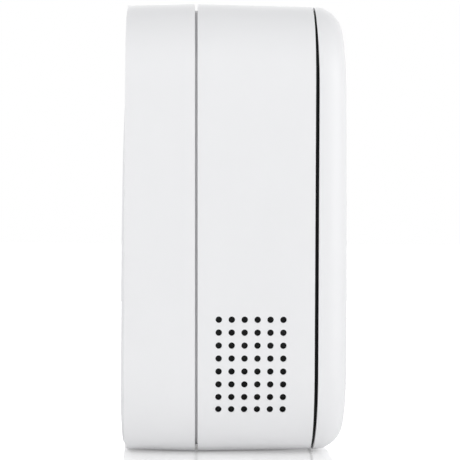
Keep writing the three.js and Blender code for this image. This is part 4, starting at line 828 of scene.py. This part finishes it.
def cap():
    """The round cap, slightly dished, with its flange and plunger."""
    rings = [
        at_depth(circle(PLUNGER), BUTTON_Z, cap_back),
        at_depth(circle(PLUNGER), BUTTON_Z, CAP_INSIDE),
        at_depth(circle(CAP_RADIUS - CAP_WALL), BUTTON_Z, CAP_INSIDE),
        at_depth(circle(CAP_RADIUS - CAP_WALL), BUTTON_Z, FLANGE_BACK),
        at_depth(circle(CAP_RADIUS + CAP_FLANGE), BUTTON_Z, FLANGE_BACK),
        at_depth(circle(CAP_RADIUS + CAP_FLANGE), BUTTON_Z, SHELF_Y + SEAT),
        at_depth(circle(CAP_RADIUS), BUTTON_Z, SHELF_Y + SEAT),
    ]
    for out, along in rounded(0.45 * MM, 5):
        rings.append(on_dome(circle(CAP_RADIUS - out), BUTTON_Z, CAP_DIP + along))
    for share in (0.92, 0.8, 0.65, 0.5, 0.35, 0.2, 0.07):
        dish = CAP_DISH * (1 - share ** 2)
        rings.append(on_dome(circle(CAP_RADIUS * share), BUTTON_Z, CAP_DIP + dish))
    return stack("cap_dished", rings)


def light_ring():
    """The translucent ring round the cap, its face following the dome."""
    inner = CAP_RADIUS + RING_GAP
    outer = inner + RING_WIDTH
    ring_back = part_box("button_light_ring")[1].y
    rings = [at_depth(circle(outer), BUTTON_Z, ring_back)]
    rings.append(at_depth(circle(outer), BUTTON_Z, RING_FLANGE_BACK))
    rings.append(at_depth(circle(outer + RING_FLANGE), BUTTON_Z, RING_FLANGE_BACK))
    for reach in (RING_FLANGE, 0.0):
        rings.append(under_cover(circle(outer + reach), BUTTON_Z))
    for out, along in rounded(0.3 * MM):
        rings.append(on_dome(circle(outer - out), BUTTON_Z, SEAT + along))
    for out, along in reversed(rounded(0.3 * MM)):
        rings.append(on_dome(circle(inner + out), BUTTON_Z, SEAT + along))
    rings.append(at_depth(circle(inner), BUTTON_Z, SHELF_Y))
    rings.append(at_depth(circle(CAP_RADIUS + CAP_FLANGE + FIT), BUTTON_Z, SHELF_Y))
    rings.append(at_depth(circle(CAP_RADIUS + CAP_FLANGE + FIT), BUTTON_Z, ring_back))
    return stack("light_guide_ring", rings, wrap=True)


dress(cap(), "button_cap", "doorbell_button", "white_button")
dress(light_ring(), "button_light_ring", "housing", "light_guide")

# ------------------------------------------------------------------ studio

FLOOR_HALF = 6.0
FLOOR_GLOW = 0.22  # what the camera alone sees added, so the floor reads white
SKY_LEVEL = 0.48
floor_mesh = bpy.data.meshes.new("floor")
corners = [(x * FLOOR_HALF, y * FLOOR_HALF, 0) for x, y in ((-1, -1), (1, -1), (1, 1), (-1, 1))]
floor_mesh.from_pydata(corners, [], [(0, 1, 2, 3)])
floor = bpy.data.objects.new("floor", floor_mesh)
bpy.context.scene.collection.objects.link(floor)

floor_material, nodes, links, bsdf = shader("floor_gloss")
floor_mesh.materials.append(floor_material)
bsdf.inputs["Base Color"].default_value = (0.92, 0.92, 0.92, 1)
bsdf.inputs["Roughness"].default_value = 0.06
place = nodes.new("ShaderNodeTexCoord")
ripple = nodes.new("ShaderNodeTexNoise")
ripple.inputs["Scale"].default_value = 9
bump = nodes.new("ShaderNodeBump")
bump.inputs["Strength"].default_value = 0.02
bump.inputs["Distance"].default_value = 0.2 * MM
glow = nodes.new("ShaderNodeEmission")
glow.inputs["Strength"].default_value = FLOOR_GLOW
seen = nodes.new("ShaderNodeLightPath")
total = nodes.new("ShaderNodeAddShader")
choice = nodes.new("ShaderNodeMixShader")
links.new(place.outputs["Object"], ripple.inputs["Vector"])
links.new(ripple.outputs["Fac"], bump.inputs["Height"])
links.new(bump.outputs["Normal"], bsdf.inputs["Normal"])
links.new(bsdf.outputs["BSDF"], total.inputs[0])
links.new(glow.outputs["Emission"], total.inputs[1])
links.new(seen.outputs["Is Camera Ray"], choice.inputs["Fac"])
links.new(bsdf.outputs["BSDF"], choice.inputs[1])
links.new(total.outputs["Shader"], choice.inputs[2])
links.new(choice.outputs["Shader"], nodes["Material Output"].inputs["Surface"])

world = bpy.data.worlds.new("studio")
bpy.context.scene.world = world
world.use_nodes = True
nodes = world.node_tree.nodes
links = world.node_tree.links
lit = nodes["Background"]
lit.inputs["Color"].default_value = (0.98, 0.99, 1.0, 1)
lit.inputs["Strength"].default_value = SKY_LEVEL
white = nodes.new("ShaderNodeBackground")
white.inputs["Color"].default_value = (1, 1, 1, 1)
seen = nodes.new("ShaderNodeLightPath")
sharp = nodes.new("ShaderNodeMath")
sharp.operation = "MAXIMUM"
through = nodes.new("ShaderNodeMath")
through.operation = "MAXIMUM"
choice = nodes.new("ShaderNodeMixShader")
links.new(seen.outputs["Is Camera Ray"], sharp.inputs[0])
links.new(seen.outputs["Is Glossy Ray"], sharp.inputs[1])
links.new(sharp.outputs["Value"], through.inputs[0])
links.new(seen.outputs["Is Transmission Ray"], through.inputs[1])
links.new(through.outputs["Value"], choice.inputs["Fac"])
links.new(lit.outputs["Background"], choice.inputs[1])
links.new(white.outputs["Background"], choice.inputs[2])
links.new(choice.outputs["Shader"], nodes["World Output"].inputs["Surface"])


def soft_light(name, place, aim, size, power):
    """A square soft box at a place, aimed at a point."""
    data = bpy.data.lights.new(name, "AREA")
    data.shape = "SQUARE"
    data.size = size
    data.energy = power
    lamp = bpy.data.objects.new(name, data)
    lamp.location = place
    lamp.rotation_euler = (Vector(aim) - Vector(place)).to_track_quat("-Z", "Y").to_euler()
    bpy.context.scene.collection.objects.link(lamp)
    return lamp


centre = Vector((0, 0, MIDDLE_Z))
soft_light("side_box", (-0.85, 0.05, 0.5), centre, 0.8, 0.65)
soft_light("front_box", (-0.4, -0.85, 0.3), centre, 0.7, 4.0)
soft_light("wall_box", (-0.5, 0.8, 0.3), centre, 0.7, 3.45)
soft_light("fill_box", (0.85, 0.1, 0.35), centre, 0.8, 1.6)
table = soft_light("light_table", (0, 0, 0.2 * MM), (0, 0, 1), 0.8, 0.2)
table.visible_camera = False
table.visible_glossy = False

# ------------------------------------------------------------------ camera

SENSOR = 36.0
FOCAL = 140.9
VIEW_DISTANCE = 472 * MM  # from the near side wall
VIEW_HEIGHT = 61 * MM
VIEW_YAW = math.radians(1.08)
VIEW_PITCH = math.radians(-0.073)
VIEW_ROLL = math.radians(0.30)

camera_data = bpy.data.cameras.new("camera")
camera_data.sensor_width = SENSOR
camera_data.lens = FOCAL
camera_data.clip_start = 0.01
camera = bpy.data.objects.new("camera", camera_data)
bpy.context.scene.collection.objects.link(camera)
camera.location = (
    main_low.x - VIEW_DISTANCE, (MAIN_BACK + REAR_FRONT) / 2 + 0.05 * MM, VIEW_HEIGHT)
forward = Vector((math.cos(VIEW_YAW), -math.sin(VIEW_YAW), math.tan(VIEW_PITCH)))
level = forward.to_track_quat("-Z", "Y")
camera.rotation_euler = (level @ Matrix.Rotation(VIEW_ROLL, 3, "Z").to_quaternion()).to_euler()
bpy.context.scene.camera = camera

bpy.context.scene.view_settings.view_transform = "Standard"
